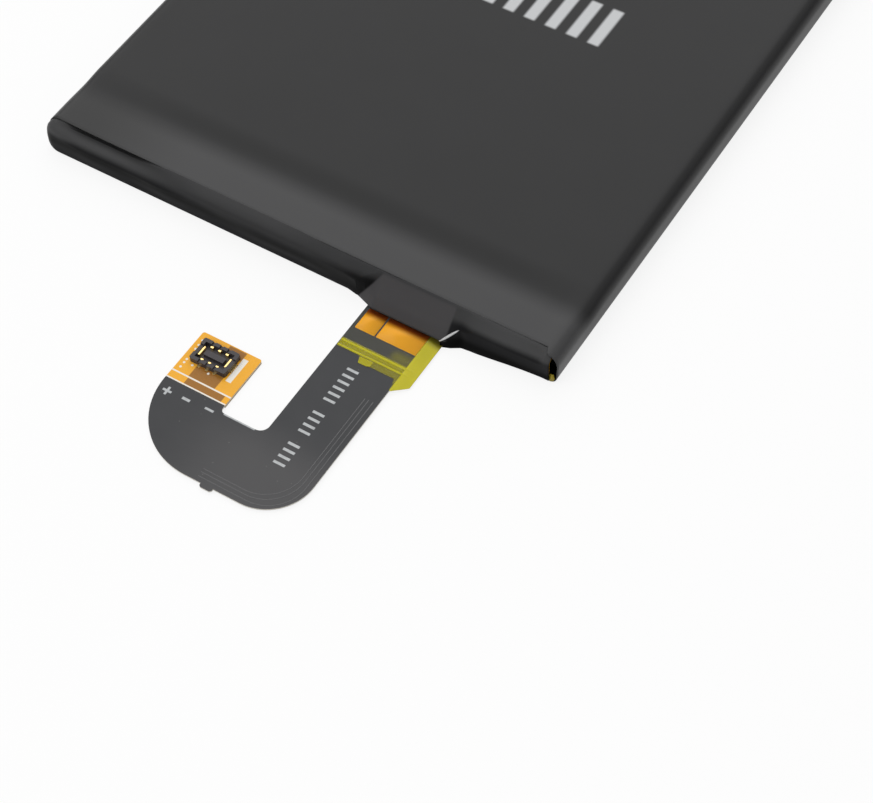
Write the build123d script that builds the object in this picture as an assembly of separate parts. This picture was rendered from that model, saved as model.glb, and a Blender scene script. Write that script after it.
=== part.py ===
from build123d import *
import math
import os

# Slim lithium battery pack for a mobile phone: a sealed pouch cell in a black film sleeve, a taped
# header with the protection board, and a flexible printed tail that ends in a small connector.
# Millimetres. The origin is the middle of the underside, X runs across the pack, Y along it with
# the header and the tail towards -Y, and Z is up. Heights called "level" are above the underside.

os.makedirs("parts", exist_ok=True)

# Pack envelope
pack_width = 62.0
pack_length = 92.0
pack_thickness = 4.0
side_top_radius = 1.6
side_bottom_radius = 0.9
far_top_radius = 1.3
far_bottom_radius = 0.8
plan_corner_radius = 1.3
film_thickness = 0.1

# Header: its top film lies a little lower than the main face, behind a soft crease
header_depth = 8.6
header_drop = 0.3
crease_run = 1.6
crease_radius = 3.0
front_roll_radius = 1.2
front_bottom_radius = 0.6
front_set_back = 0.4
set_back_length = 11.0
lap_depth = 1.55
lap_gap = 0.12
tape_thickness = 0.12
tape_lap = 1.0
tape_end_margin = 1.3
corner_mouth_depth = 0.5

# Pressed groove behind the left end of the header roll
groove_left_margin = 1.5
groove_length = 12.5
groove_width = 0.55
groove_depth = 0.45

# Tongue of the header tape over the root of the flex
tongue_reach = 1.3
tongue_top_margin = 0.15
tongue_spread_left = 0.3
tongue_spread_right = 2.1
tongue_side_clearance = 0.15
tongue_lip_gap = 0.7
tongue_mouth_gap = 0.12
tongue_front_room = 0.5

# Pouch cell
cup_wall_gap = 0.15
seal_thickness = 0.2
cup_top_radius = 1.3
cup_bottom_radius = 0.5
cup_corner_radius = 2.0
cup_end_clearance = 0.2
cup_front_gap = 0.4
side_seal_top_clearance = 0.1
side_seal_end_margin = 1.5
terrace_thickness = 0.24
terrace_tape_clearance = 0.1
terrace_side_gap = 1.5

# Tabs of the cell and their seals
tab_thickness = 0.1
tab_width = 6.0
tab_left_margin = 9.0
tab_spacing = 13.0
tab_front_gap = 0.9
tab_bend_radius = 0.45
tab_root_depth = 0.4
tab_land_length = 3.0
tab_seal_film = 0.08
tab_seal_side = 1.5
tab_seal_front = 0.8
tab_seal_depth = 3.3
laminate_thickness = 0.1
hump_side_margin = 1.0

# Protection board and what is on it
foam_thickness = 0.9
foam_side_gap = 3.5
foam_front_clearance = 0.2
foam_rear_clearance = 0.4
board_depth = 5.0
board_thickness = 0.6
board_left_gap = 2.4
board_right_gap = 1.4
board_corner_radius = 0.4
weld_plate_thickness = 0.2
weld_plate_length = 5.0
weld_plate_depth = 3.4
weld_plate_front = 0.5
weld_plate_radius = 0.3

chip_cap_length = 0.25
chip_cap_proud = 0.02
resistor_size = (1.0, 0.5, 0.35)
capacitor_size = (1.0, 0.5, 0.5)
sensor_size = (1.6, 0.8, 0.6)
fuse_size = (3.2, 1.6, 0.65)
passive_gap = 0.1
passive_count = 3
passive_flex_gap = 1.2
passive_row_offset = 1.2
protection_chip_size = (1.6, 1.6, 0.7)
protection_chip_lead_count = 3
protection_chip_gap = 0.9
mosfet_size = (4.4, 2.2, 0.85)
mosfet_lead_count = 4
lead_width = 0.24
lead_length = 0.35
lead_thickness = 0.12
chip_standoff = 0.05
chip_edge_chamfer = 0.12
sensor_end_gap = 4.0
fuse_end_gap = 1.6

insulation_thickness = 0.06
insulation_front_gap = 0.62
insulation_rear_clearance = 0.7
insulation_foot = 0.8
insulation_left_clearance = 0.8
insulation_right_reach = 0.5
insulation_radius = 0.3
insulation_front_level = 0.3
flex_slot_clearance = 0.3

# Flex tail: a U in plan whose far leg carries the connector pad
tail_underside = 0.2
bottom_coverlay_thickness = 0.04
base_film_thickness = 0.05
copper_thickness = 0.04
coverlay_over_copper = 0.05
leg_right_margin = 13.3
leg_width = 7.5
root_extra_width = 0.5
root_step_reach = 4.4
tail_reach = 26.5
tail_width = 19.6
base_width = 7.65
pad_leg_length = 14.75
pad_width = 7.0
outer_radius_left = 8.3
outer_radius_right = 5.0
notch_radius_left = 0.5
notch_radius_right = 1.0
pad_corner_radius = 0.25
nub_offset = 10.2
nub_width = 1.4
nub_height = 0.4
nub_radius = 0.3
ramp_foot_reach = 0.4
ramp_angle = 49.0
ramp_radius = 1.0
ramp_board_clearance = 0.05
bottom_coverlay_end = 0.15
base_film_end = 0.5
trace_end = 2.9
top_coverlay_end = 3.1

# Conductors, as shares of the way from the outer edge of the U to its inner edge
positive_band = (0.05, 0.595)
signal_bands = ((0.607, 0.62), (0.632, 0.645))
negative_band = (0.657, 0.88)
band_land_clearance = 1.03
band_straight_end = 0.1
plane_end_margin = 0.55
plane_overlap = 0.6
plane_side_margin = 0.4
plane_under_foot = 0.2
land_length = 0.5
land_width = 0.44

# Windows of the black coverlay at the root of the flex
window_near_reach = 1.9
window_far_reach = 3.75
window_edge_margin = 0.45
window_gap_margin = 0.12

# Connector pad
pad_length = 6.3
connector_side_margin = 0.9
connector_end_margin = 2.25
connector_length = 4.2
connector_width = 2.8
connector_height = 0.65
connector_wall = 0.4
connector_floor = 0.12
connector_corner_radius = 0.2
island_length = 2.3
island_width = 0.62
island_height = 0.5
contact_spacing = 0.9
contact_count = 3
contact_width = 0.3
contact_thickness = 0.08
contact_foot = 0.22
contact_bend_radius = 0.07
contact_top_gap = 0.06
contact_tip_drop = 0.35
contact_fold = 0.2
contact_slot_clearance = 0.02
rim_notch_depth = 0.16
power_contact_width = 1.1

# Yellow tape across the root of the flex
root_tape_thickness = 0.06
root_tape_start = 0.88
root_tape_left_reach = 7.3
root_tape_right_reach = 8.6
root_tape_overhang = 1.5
root_tape_cut = 1.35
root_tape_left_inset = 0.1
root_tape_tab_length = 1.5
root_tape_tab_depth = 0.35
root_tape_tab_offset = 2.8

# Places worked out from the sizes above
half_width = pack_width / 2
front_y = -pack_length / 2
far_y = pack_length / 2
header_top = pack_thickness - header_drop
crease_y = front_y + header_depth
lap_y = front_y + lap_depth
tape_end_x = half_width - tape_end_margin
wall_thickness = film_thickness + tape_thickness

cell_bottom = film_thickness
cell_top = pack_thickness - film_thickness
cell_half_width = half_width - film_thickness - seal_thickness - cup_wall_gap
cup_front_y = crease_y + cup_front_gap
cup_far_y = far_y - film_thickness - cup_end_clearance
terrace_front_y = lap_y + tape_lap + terrace_tape_clearance + tab_seal_front
terrace_top = cell_bottom + terrace_thickness

positive_tab_x = -half_width + tab_left_margin + tab_width / 2
negative_tab_x = positive_tab_x + tab_spacing
tab_centres = {"positive": positive_tab_x, "negative": negative_tab_x}
tab_middle = cell_bottom + laminate_thickness + tab_seal_film + tab_thickness / 2
hump_top = tab_middle + tab_thickness / 2 + tab_seal_film + laminate_thickness
hump_width = tab_width + 2 * tab_seal_side + 2 * hump_side_margin

foam_top = terrace_top + foam_thickness
board_top = foam_top + board_thickness
ramp_rise = board_top - tail_underside
ramp_head_y = front_y - ramp_foot_reach + ramp_rise / math.tan(math.radians(ramp_angle))
ramp_bend_length = ramp_radius * math.tan(math.radians(ramp_angle / 2))
board_front_y = ramp_head_y + ramp_bend_length + ramp_board_clearance
board_rear_y = board_front_y + board_depth
board_middle_y = (board_front_y + board_rear_y) / 2
board_left = -half_width + board_left_gap
board_right = half_width - board_right_gap
weld_plate_y = board_front_y + weld_plate_front + weld_plate_depth / 2
mosfet_x = positive_tab_x + tab_spacing / 2
protection_chip_left = negative_tab_x + weld_plate_length / 2 + protection_chip_gap
protection_chip_x = protection_chip_left + protection_chip_size[0] / 2
sensor_x = board_right - sensor_end_gap - sensor_size[0] / 2
fuse_x = board_left + fuse_end_gap + fuse_size[0] / 2
tallest_chip_top = board_top + mosfet_size[2]

leg_a_right = half_width - leg_right_margin
leg_a_left = leg_a_right - leg_width
leg_c_left = leg_a_right - tail_width
leg_c_right = leg_c_left + pad_width
tail_outer_y = front_y - tail_reach
tail_inner_y = tail_outer_y + base_width
pad_end_y = tail_outer_y + pad_leg_length
pad_boundary_y = pad_end_y - pad_length
base_film_level = bottom_coverlay_thickness
copper_level = base_film_level + base_film_thickness
coverlay_top_level = copper_level + copper_thickness + coverlay_over_copper
tail_top = tail_underside + coverlay_top_level
copper_underside = tail_underside + copper_level
root_end_y = board_front_y + top_coverlay_end
root_right = leg_a_right + root_extra_width
connector_left = leg_c_left + connector_side_margin
connector_right = connector_left + connector_length
connector_x = (connector_left + connector_right) / 2
connector_y = pad_end_y - connector_end_margin
tongue_left = leg_a_left
tongue_right = root_right
tongue_lip_level = tail_top + tongue_lip_gap
tongue_mouth_level = tail_top + tongue_mouth_gap


def planar_face(plane, points, radii):
    """Face in a plane from corner points, each rounded by its own radius."""
    return plane * make_face(FilletPolyline(*points, radius=radii, close=True))


def prism_x(points, radii, low, high):
    """Outline in Y and Z, extruded from X = low to X = high."""
    face = planar_face(Plane.YZ, points, radii)
    return Pos(low, 0, 0) * extrude(face, high - low, dir=(1, 0, 0))


def prism_y(points, radii, low, high):
    """Outline in X and Z, extruded from Y = low to Y = high."""
    face = planar_face(Plane.XZ, points, radii)
    return Pos(0, low, 0) * extrude(face, high - low, dir=(0, 1, 0))


def prism_z(points, radii, low, high):
    """Outline in X and Y, extruded from Z = low to Z = high."""
    face = planar_face(Plane.XY, points, radii)
    return Pos(0, 0, low) * extrude(face, high - low, dir=(0, 0, 1))


def block(x_range, y_range, z_range):
    """Plain block between two limits on each axis."""
    size = [high - low for low, high in (x_range, y_range, z_range)]
    middle = [(low + high) / 2 for low, high in (x_range, y_range, z_range)]
    return Pos(*middle) * Box(*size)


def unit(start, end):
    """Direction from one point to the next."""
    length = math.dist(start, end)
    return ((end[0] - start[0]) / length, (end[1] - start[1]) / length)


def mitre(before, after, distance):
    """Shift of a corner when both its sides move to their left by a distance."""
    left_before = (-before[1], before[0])
    left_after = (-after[1], after[0])
    scale = distance / (1 + left_before[0] * left_after[0] + left_before[1] * left_after[1])
    return ((left_before[0] + left_after[0]) * scale, (left_before[1] + left_after[1]) * scale)


def turn(before, after):
    """Positive where the path turns left."""
    return before[0] * after[1] - before[1] * after[0]


def inset_outline(points, radii, distance):
    """Closed anticlockwise outline moved inwards, with its roundings kept concentric."""
    moved = []
    rounded = []
    for index, point in enumerate(points):
        before = unit(points[index - 1], point)
        after = unit(point, points[(index + 1) % len(points)])
        shift = mitre(before, after, distance)
        change = -distance if turn(before, after) > 0 else distance
        moved.append((point[0] + shift[0], point[1] + shift[1]))
        rounded.append(max(radii[index] + change, 0) if radii[index] > 0 else 0)
    return moved, rounded


def offset_path(points, radii, distance):
    """Open path moved to its left, with its bends kept concentric."""
    moved = []
    rounded = []
    for index, point in enumerate(points):
        before = unit(points[max(index - 1, 0)], points[max(index, 1)])
        after = unit(points[min(index, len(points) - 2)], points[min(index + 1, len(points) - 1)])
        shift = mitre(before, after, distance)
        moved.append((point[0] + shift[0], point[1] + shift[1]))
        if 0 < index < len(points) - 1:
            change = -distance if turn(before, after) > 0 else distance
            rounded.append(radii[index - 1] + change)
    return moved, rounded


def strip_outline(points, radii, low, high):
    """Closed outline of a bent strip between two distances to the left of a path."""
    near, near_radii = offset_path(points, radii, low)
    far, far_radii = offset_path(points, radii, high)
    outline_radii = [0] + near_radii + [0, 0] + far_radii[::-1] + [0]
    return near + far[::-1], outline_radii


def save(shape, name):
    """Write one node to its own file."""
    export_step(shape, "parts/" + name + ".step")


def envelope(inset):
    """Outer form of the wrapped pack, or the same form moved inwards."""
    side = [(-half_width, 0), (half_width, 0), (half_width, pack_thickness), (-half_width, pack_thickness)]
    side_radii = [side_bottom_radius, side_bottom_radius, side_top_radius, side_top_radius]
    length = [
        (front_y, 0),
        (far_y, 0),
        (far_y, pack_thickness),
        (crease_y + crease_run / 2, pack_thickness),
        (crease_y - crease_run / 2, header_top),
        (front_y, header_top),
    ]
    length_radii = [
        front_bottom_radius,
        far_bottom_radius,
        far_top_radius,
        crease_radius,
        crease_radius,
        front_roll_radius,
    ]
    plan = [
        (-half_width, front_y),
        (half_width - set_back_length, front_y),
        (half_width, front_y + front_set_back),
        (half_width, far_y),
        (-half_width, far_y),
    ]
    plan_radii = [plan_corner_radius, 0, plan_corner_radius, plan_corner_radius, plan_corner_radius]
    across = prism_y(*inset_outline(side, side_radii, inset), front_y, far_y)
    along = prism_x(*inset_outline(length, length_radii, inset), -half_width, half_width)
    upright = prism_z(*inset_outline(plan, plan_radii, inset), 0, pack_thickness)
    return across & along & upright


outer = envelope(0)
under_film = envelope(film_thickness)
under_tape = envelope(wall_thickness)


def front_zone(rear_y):
    """Everything ahead of a line and left of the open end of the header tape."""
    return block(
        (-pack_width, tape_end_x),
        (front_y - tail_reach, rear_y),
        (-pack_thickness, 2 * pack_thickness),
    )


def label_wrap():
    """Black film sleeve, open ahead of the lap line and at the mouth of the right corner."""
    mouth = block(
        (tape_end_x, pack_width),
        (front_y - tail_reach, front_y + corner_mouth_depth),
        (-pack_thickness, 2 * pack_thickness),
    )
    return (outer - under_film) - front_zone(lap_y) - mouth


def groove(grow):
    """Pressed groove that shallows to the right, or the same form moved outwards."""
    left = -half_width + groove_left_margin
    top = header_top + film_thickness
    section = [
        (lap_y - groove_width / 2, header_top - groove_depth),
        (lap_y, header_top - groove_depth),
        (lap_y, top),
        (lap_y - groove_width, top),
    ]
    taper = [
        (left, header_top - groove_depth),
        (left + groove_length, header_top),
        (left + groove_length, top),
        (left, top),
    ]
    sharp = [0, 0, 0, 0]
    across = prism_x(*inset_outline(section, sharp, -grow), -pack_width, pack_width)
    along = prism_y(*inset_outline(taper, sharp, -grow), front_y - header_depth, crease_y)
    return across & along


tongue_head_y = lap_y - tongue_top_margin
tongue_foot_y = front_y - tongue_reach
tongue_slope = unit((tongue_foot_y, tongue_lip_level + tape_thickness), (tongue_head_y, header_top))
tongue_drop = tape_thickness / tongue_slope[0]


def tongue_level(y, drop):
    """Height of the tongue's slope, less a drop, at a place along the pack."""
    return header_top - drop - (tongue_head_y - y) * tongue_slope[1] / tongue_slope[0]


def tongue_plan(inset, reach):
    """Upright prism over the plan of the tongue, narrower by an inset and longer by a reach."""
    left = tongue_left - tongue_side_clearance - tape_thickness
    right = tongue_right + tongue_side_clearance + tape_thickness
    low_y = tongue_foot_y - reach
    plan = [
        (left + inset, low_y),
        (right - inset, low_y),
        (right - inset, tongue_foot_y),
        (right + tongue_spread_right - inset, tongue_head_y),
        (left - tongue_spread_left + inset, tongue_head_y),
        (left + inset, tongue_foot_y),
    ]
    if reach == 0:
        plan = plan[2:]
    return prism_z(plan, [0] * len(plan), 0, pack_thickness)


def tongue():
    """Wedge under the tongue of the header tape, from the mouth of the flex to the slope."""
    section = [
        (tongue_foot_y, tongue_mouth_level),
        (tongue_head_y, tongue_mouth_level),
        (tongue_head_y, header_top),
        (tongue_foot_y, tongue_level(tongue_foot_y, 0)),
    ]
    return prism_x(section, [0, 0, 0, 0], -half_width, half_width) & tongue_plan(0, 0)


def tongue_sheet():
    """Sloping sheet of the tongue, one tape thickness deep."""
    section = [
        (tongue_foot_y, tongue_level(tongue_foot_y, tongue_drop)),
        (tongue_head_y, tongue_level(tongue_head_y, tongue_drop)),
        (tongue_head_y, header_top),
        (tongue_foot_y, tongue_level(tongue_foot_y, 0)),
    ]
    return prism_x(section, [0, 0, 0, 0], -half_width, half_width) & tongue_plan(0, 0)


def tongue_hollow():
    """Room under the tongue, open to the front, one tape thickness inside its wedge."""
    low_y = tongue_foot_y - tongue_front_room
    section = [
        (low_y, 0),
        (tongue_foot_y, 0),
        (tongue_foot_y, tongue_mouth_level),
        (tongue_head_y, tongue_mouth_level),
        (tongue_head_y, tongue_level(tongue_head_y, tongue_drop)),
        (low_y, tongue_level(low_y, tongue_drop)),
    ]
    hollow = prism_x(section, [0] * len(section), -half_width, half_width)
    return hollow & tongue_plan(tape_thickness, tongue_front_room)


def tongue_relief():
    """Everything above the tongue's slope, where the roll gives way to it."""
    low_y = tongue_foot_y - tongue_front_room
    section = [
        (low_y, tongue_level(low_y, 0)),
        (tongue_head_y, header_top),
        (tongue_head_y, pack_thickness),
        (low_y, pack_thickness),
    ]
    relief = prism_x(section, [0, 0, 0, 0], -half_width, half_width)
    return relief & tongue_plan(0, tongue_front_room)


def header_tape():
    """Closing tape: front wall, roll, pressed groove, lap under the film and tongue over the flex."""
    front_wall = (outer - under_tape) & front_zone(lap_y - lap_gap)
    lap = (under_film - under_tape) & front_zone(lap_y + tape_lap)
    pressed = groove(tape_thickness) & under_film
    skin = front_wall + lap + pressed + (tongue() - under_tape) + tongue_sheet()
    return skin - groove(0) - tongue_hollow() - tongue_relief()


def tab_hump(centre):
    """Raised band of the terrace over one tab and its seal."""
    half = hump_width / 2
    return block(
        (centre - half, centre + half),
        (terrace_front_y, cup_front_y),
        (cell_bottom, hump_top),
    )


def tab_seal_block(centre):
    """Outer form of one polymer tab seal."""
    half = tab_width / 2 + tab_seal_side
    return block(
        (centre - half, centre + half),
        (terrace_front_y - tab_seal_front, terrace_front_y + tab_seal_depth),
        (cell_bottom + laminate_thickness, hump_top - laminate_thickness),
    )


def tab_strip(centre):
    """Metal strip out of the terrace, bent up and back onto its weld plate."""
    land_level = board_top + weld_plate_thickness + tab_thickness / 2
    bend_y = front_y + tab_front_gap + tab_thickness / 2
    path = [
        (cup_front_y - tab_root_depth, tab_middle),
        (bend_y, tab_middle),
        (bend_y, land_level),
        (weld_plate_y - weld_plate_depth / 2 + tab_land_length, land_level),
    ]
    radii = [tab_bend_radius, tab_bend_radius]
    outline, outline_radii = strip_outline(path, radii, -tab_thickness / 2, tab_thickness / 2)
    return prism_x(outline, outline_radii, centre - tab_width / 2, centre + tab_width / 2)


def side_seal(side):
    """Pouch seal folded up against one long side of the cup."""
    inner = cell_half_width + cup_wall_gap
    outer_x = inner + seal_thickness
    bottom = cell_bottom + side_bottom_radius
    top = pack_thickness - side_top_radius - side_seal_top_clearance
    front = cup_front_y + side_seal_end_margin
    rear = cup_far_y - side_seal_end_margin
    path = [
        (cell_half_width - seal_thickness, bottom - seal_thickness),
        (outer_x, bottom - seal_thickness),
        (outer_x, top),
        (inner, top),
        (inner, bottom),
        (cell_half_width - seal_thickness, bottom),
    ]
    radii = [0, seal_thickness, 0, 0, 0, 0]
    seal = prism_y(path, radii, front, rear)
    return seal if side > 0 else mirror(seal, about=Plane.YZ)


def pouch_cell():
    """Sealed laminate bag: drawn cup, flat terrace with tab humps and folded side seals."""
    cup = block(
        (-cell_half_width, cell_half_width),
        (cup_front_y, cup_far_y),
        (cell_bottom, cell_top),
    )
    cup = fillet(cup.edges().filter_by(Axis.Z), cup_corner_radius)
    cup = fillet(cup.faces().sort_by(Axis.Z)[-1].edges(), cup_top_radius)
    cup = fillet(cup.faces().sort_by(Axis.Z)[0].edges(), cup_bottom_radius)
    terrace_half = half_width - film_thickness - terrace_side_gap
    cell = cup + block(
        (-terrace_half, terrace_half),
        (terrace_front_y, cup_front_y + cup_corner_radius + cup_bottom_radius),
        (cell_bottom, terrace_top),
    )
    for side in (-1, 1):
        cell += side_seal(side)
    for centre in tab_centres.values():
        cell += tab_hump(centre)
    for centre in tab_centres.values():
        cell -= tab_seal_block(centre)
        cell -= tab_strip(centre)
    return cell


def terrace_foam():
    """Adhesive foam on the terrace, moulded round the tab humps."""
    reach = half_width - foam_side_gap
    foam = block(
        (-reach, reach),
        (terrace_front_y + foam_front_clearance, cup_front_y - foam_rear_clearance),
        (terrace_top, foam_top),
    )
    for centre in tab_centres.values():
        foam -= tab_hump(centre)
    return foam


def protection_board():
    """Bare board with rounded corners."""
    corners = [
        (board_left, board_front_y),
        (board_right, board_front_y),
        (board_right, board_rear_y),
        (board_left, board_rear_y),
    ]
    return prism_z(corners, [board_corner_radius] * 4, foam_top, board_top)


def weld_plate(centre):
    """Nickel plate on the board that takes one tab."""
    left = centre - weld_plate_length / 2
    near = weld_plate_y - weld_plate_depth / 2
    corners = [
        (left, near),
        (left + weld_plate_length, near),
        (left + weld_plate_length, near + weld_plate_depth),
        (left, near + weld_plate_depth),
    ]
    return prism_z(corners, [weld_plate_radius] * 4, board_top, board_top + weld_plate_thickness)


def two_terminal_chip(x, y, size):
    """Ceramic chip with a wrapped metal cap on each end."""
    length, width, height = size
    half = length / 2
    inner_half = width / 2 - chip_cap_proud
    body = block((-half, half), (-inner_half, inner_half), (chip_cap_proud, height - chip_cap_proud))
    for low in (-half, half - chip_cap_length):
        body += block((low, low + chip_cap_length), (-width / 2, width / 2), (0, height))
    return Pos(x, y, board_top) * body


def leaded_chip(x, y, size, lead_count):
    """Moulded chip with a row of flat leads along each long side."""
    length, width, height = size
    body = block((-length / 2, length / 2), (-width / 2, width / 2), (chip_standoff, height))
    body = chamfer(body.faces().sort_by(Axis.Z)[-1].edges(), chip_edge_chamfer)
    pitch = length / lead_count
    reach = width / 2 + lead_length
    for index in range(lead_count):
        near = (index + 0.5) * pitch - (length + lead_width) / 2
        body += block((near, near + lead_width), (-reach, reach), (0, lead_thickness))
    return Pos(x, y, board_top) * body


def passive_row(y, size):
    """Equal chips side by side along the board, beside the flex."""
    first_x = root_right + passive_flex_gap + size[0] / 2
    xs = [first_x + index * (size[0] + passive_gap) for index in range(passive_count)]
    return Compound(children=[two_terminal_chip(x, y, size) for x in xs])


def board_insulation_tape():
    """Yellow tape over the tab bends and the board, with its rear foot on the foam."""
    front = front_y + insulation_front_gap
    rear = board_rear_y + insulation_rear_clearance
    foot_level = foam_top + insulation_thickness
    path = [
        (front, insulation_front_level),
        (front, tallest_chip_top + insulation_thickness),
        (rear, tallest_chip_top + insulation_thickness),
        (rear, foot_level),
        (rear + insulation_foot, foot_level),
    ]
    radii = [insulation_radius, insulation_radius, insulation_radius]
    outline, outline_radii = strip_outline(path, radii, -insulation_thickness, 0)
    left = board_left - insulation_left_clearance
    tape = prism_x(outline, outline_radii, left, board_right + insulation_right_reach)
    slot = block(
        (leg_a_left - flex_slot_clearance, root_right + flex_slot_clearance),
        (front_y, board_front_y),
        (0, tallest_chip_top),
    )
    return tape - slot


def across_u(share):
    """Edges of the U at a share of the way from its outer edge to its inner edge."""
    leg_a = leg_a_right + (leg_a_left - leg_a_right) * share
    base = tail_outer_y + (tail_inner_y - tail_outer_y) * share
    leg_c = leg_c_left + (leg_c_right - leg_c_left) * share
    left_radius = outer_radius_left + (notch_radius_left - outer_radius_left) * share
    right_radius = outer_radius_right + (notch_radius_right - outer_radius_right) * share
    return leg_a, base, leg_c, left_radius, right_radius


def flex_layer(low, high, rear_y):
    """One layer of the flex, flat along the tail and ramped up to the board, in side view."""
    path = [
        (rear_y, board_top),
        (ramp_head_y, board_top),
        (front_y - ramp_foot_reach, tail_underside),
        (tail_outer_y - nub_height - nub_radius, tail_underside),
    ]
    radii = [ramp_radius, ramp_radius]
    outline, outline_radii = strip_outline(path, radii, -high, -low)
    return prism_x(outline, outline_radii, leg_c_left - nub_width, root_right + nub_width)


def flex_plan():
    """Plan of the whole flex, from its soldered root to the connector pad, with its break-off nub."""
    leg_a_out, base_out, leg_c_out, left_out, right_out = across_u(0)
    leg_a_in, base_in, leg_c_in, left_in, right_in = across_u(1)
    step_y = front_y - root_step_reach
    points = [
        (root_right, root_end_y),
        (root_right, step_y),
        (leg_a_out, step_y - root_extra_width),
        (leg_a_out, base_out),
        (leg_c_out, base_out),
        (leg_c_out, pad_end_y),
        (leg_c_in, pad_end_y),
        (leg_c_in, base_in),
        (leg_a_in, base_in),
        (leg_a_in, root_end_y),
    ]
    radii = [0, 0, 0, right_out, left_out, pad_corner_radius, pad_corner_radius, left_in, right_in, 0]
    body = prism_z(points, radii, 0, pack_thickness)
    nub_low = base_out - nub_height
    nub_left = leg_c_left + nub_offset
    nub_points = [
        (nub_left, nub_low),
        (nub_left + nub_width, nub_low),
        (nub_left + nub_width, base_out + nub_radius),
        (nub_left, base_out + nub_radius),
    ]
    return body + prism_z(nub_points, [nub_radius, nub_radius, 0, 0], 0, pack_thickness)


def conductor(band, root_y, pad_y):
    """Copper band that follows the U between two shares of its width."""
    leg_a_out, base_out, leg_c_out, left_out, right_out = across_u(band[0])
    leg_a_in, base_in, leg_c_in, left_in, right_in = across_u(band[1])
    left_out = min(left_out, pad_y - base_out - band_straight_end)
    points = [
        (leg_a_out, root_y),
        (leg_a_out, base_out),
        (leg_c_out, base_out),
        (leg_c_out, pad_y),
        (leg_c_in, pad_y),
        (leg_c_in, base_in),
        (leg_a_in, base_in),
        (leg_a_in, root_y),
    ]
    radii = [0, right_out, left_out, 0, 0, left_in, right_in, 0]
    layer = flex_layer(copper_level, copper_level + copper_thickness, root_end_y)
    return prism_z(points, radii, 0, pack_thickness) & layer


def copper_patch(x_range, y_range):
    """Flat copper area on the pad."""
    return block(x_range, y_range, (copper_underside, copper_underside + copper_thickness))


trace_root_y = board_front_y + trace_end
trace_pad_y = connector_y - connector_width / 2 - contact_foot - band_land_clearance
plane_y_range = (trace_pad_y - plane_overlap, pad_end_y - plane_end_margin)


def positive_trace():
    """Outer copper band and its plane beside the connector."""
    band = conductor(positive_band, trace_root_y, trace_pad_y)
    edge = across_u(positive_band[0])[2]
    return band + copper_patch((edge, connector_left + plane_under_foot), plane_y_range)


def negative_trace():
    """Inner copper band and its plane beside the connector."""
    band = conductor(negative_band, trace_root_y, trace_pad_y)
    edge = leg_c_right - plane_side_margin
    return band + copper_patch((connector_right - plane_under_foot, edge), plane_y_range)


def contact_xs():
    """Places of the signal contacts along the connector."""
    middle = (contact_count - 1) / 2
    return [connector_x + (index - middle) * contact_spacing for index in range(contact_count)]


def contact_land(x, side):
    """Copper land under the foot of one signal contact."""
    edge = connector_y + side * (connector_width / 2 + contact_foot)
    inner = edge - side * land_length
    return copper_patch((x - land_width / 2, x + land_width / 2), (min(edge, inner), max(edge, inner)))


def signal_traces():
    """Two thin tracks with a land each, and the other lands of the connector."""
    right_x = contact_xs()[-1]
    groups = []
    for band, side in zip(signal_bands, (-1, 1)):
        track = conductor(band, trace_root_y, connector_y + side * connector_width / 2)
        groups.append(track + contact_land(right_x, side))
    groups += [contact_land(x, side) for x in contact_xs()[:-1] for side in (-1, 1)]
    return groups


def root_windows():
    """Two openings of the black coverlay that show the copper at the root."""
    far = front_y - window_far_reach
    near = front_y - window_near_reach
    split_left = across_u(negative_band[0])[0] + window_gap_margin
    split_right = across_u(positive_band[1])[0] - window_gap_margin
    left_edge = across_u(negative_band[1])[0] - window_gap_margin
    right_edge = root_right - window_edge_margin
    levels = (tail_underside + copper_level, pack_thickness)
    left_window = block((left_edge, split_left), (far, near), levels)
    return left_window + block((split_right, right_edge), (far, near), levels)


def pad_zone(y_low, y_high):
    """The connector leg of the flex between two lines."""
    return block((leg_c_left - nub_width, leg_c_right + nub_width), (y_low, y_high), (0, pack_thickness))


def pad_stiffener():
    """Laminate plate under the connector pad, down to the underside of the pack."""
    plate = block((leg_c_left, leg_c_right), (pad_boundary_y, pad_end_y), (0, tail_underside))
    return plate & plan


def connector_frame():
    """Rounded outline of the connector."""
    half = connector_width / 2
    return [
        (connector_left, connector_y - half),
        (connector_right, connector_y - half),
        (connector_right, connector_y + half),
        (connector_left, connector_y + half),
    ]


def signal_contact(x, side):
    """Gold contact: foot on its land, up the inside of the wall and folded over at the top."""
    foot_level = copper_underside + copper_thickness
    top_level = tail_top + connector_height - rim_notch_depth - contact_top_gap
    inner = connector_width / 2 - connector_wall
    path = [
        (connector_width / 2 + contact_foot, foot_level + contact_thickness / 2),
        (inner - contact_thickness / 2, foot_level + contact_thickness / 2),
        (inner - contact_thickness / 2, top_level),
        (inner - contact_thickness / 2 - contact_fold, top_level),
        (inner - contact_thickness / 2 - contact_fold, top_level - contact_tip_drop),
    ]
    radii = [contact_bend_radius] * 3
    outline, outline_radii = strip_outline(path, radii, -contact_thickness / 2, contact_thickness / 2)
    contact = prism_x(outline, outline_radii, -contact_width / 2, contact_width / 2)
    turned = contact if side > 0 else Rot(0, 0, 180) * contact
    return Pos(x, connector_y, 0) * turned


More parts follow.
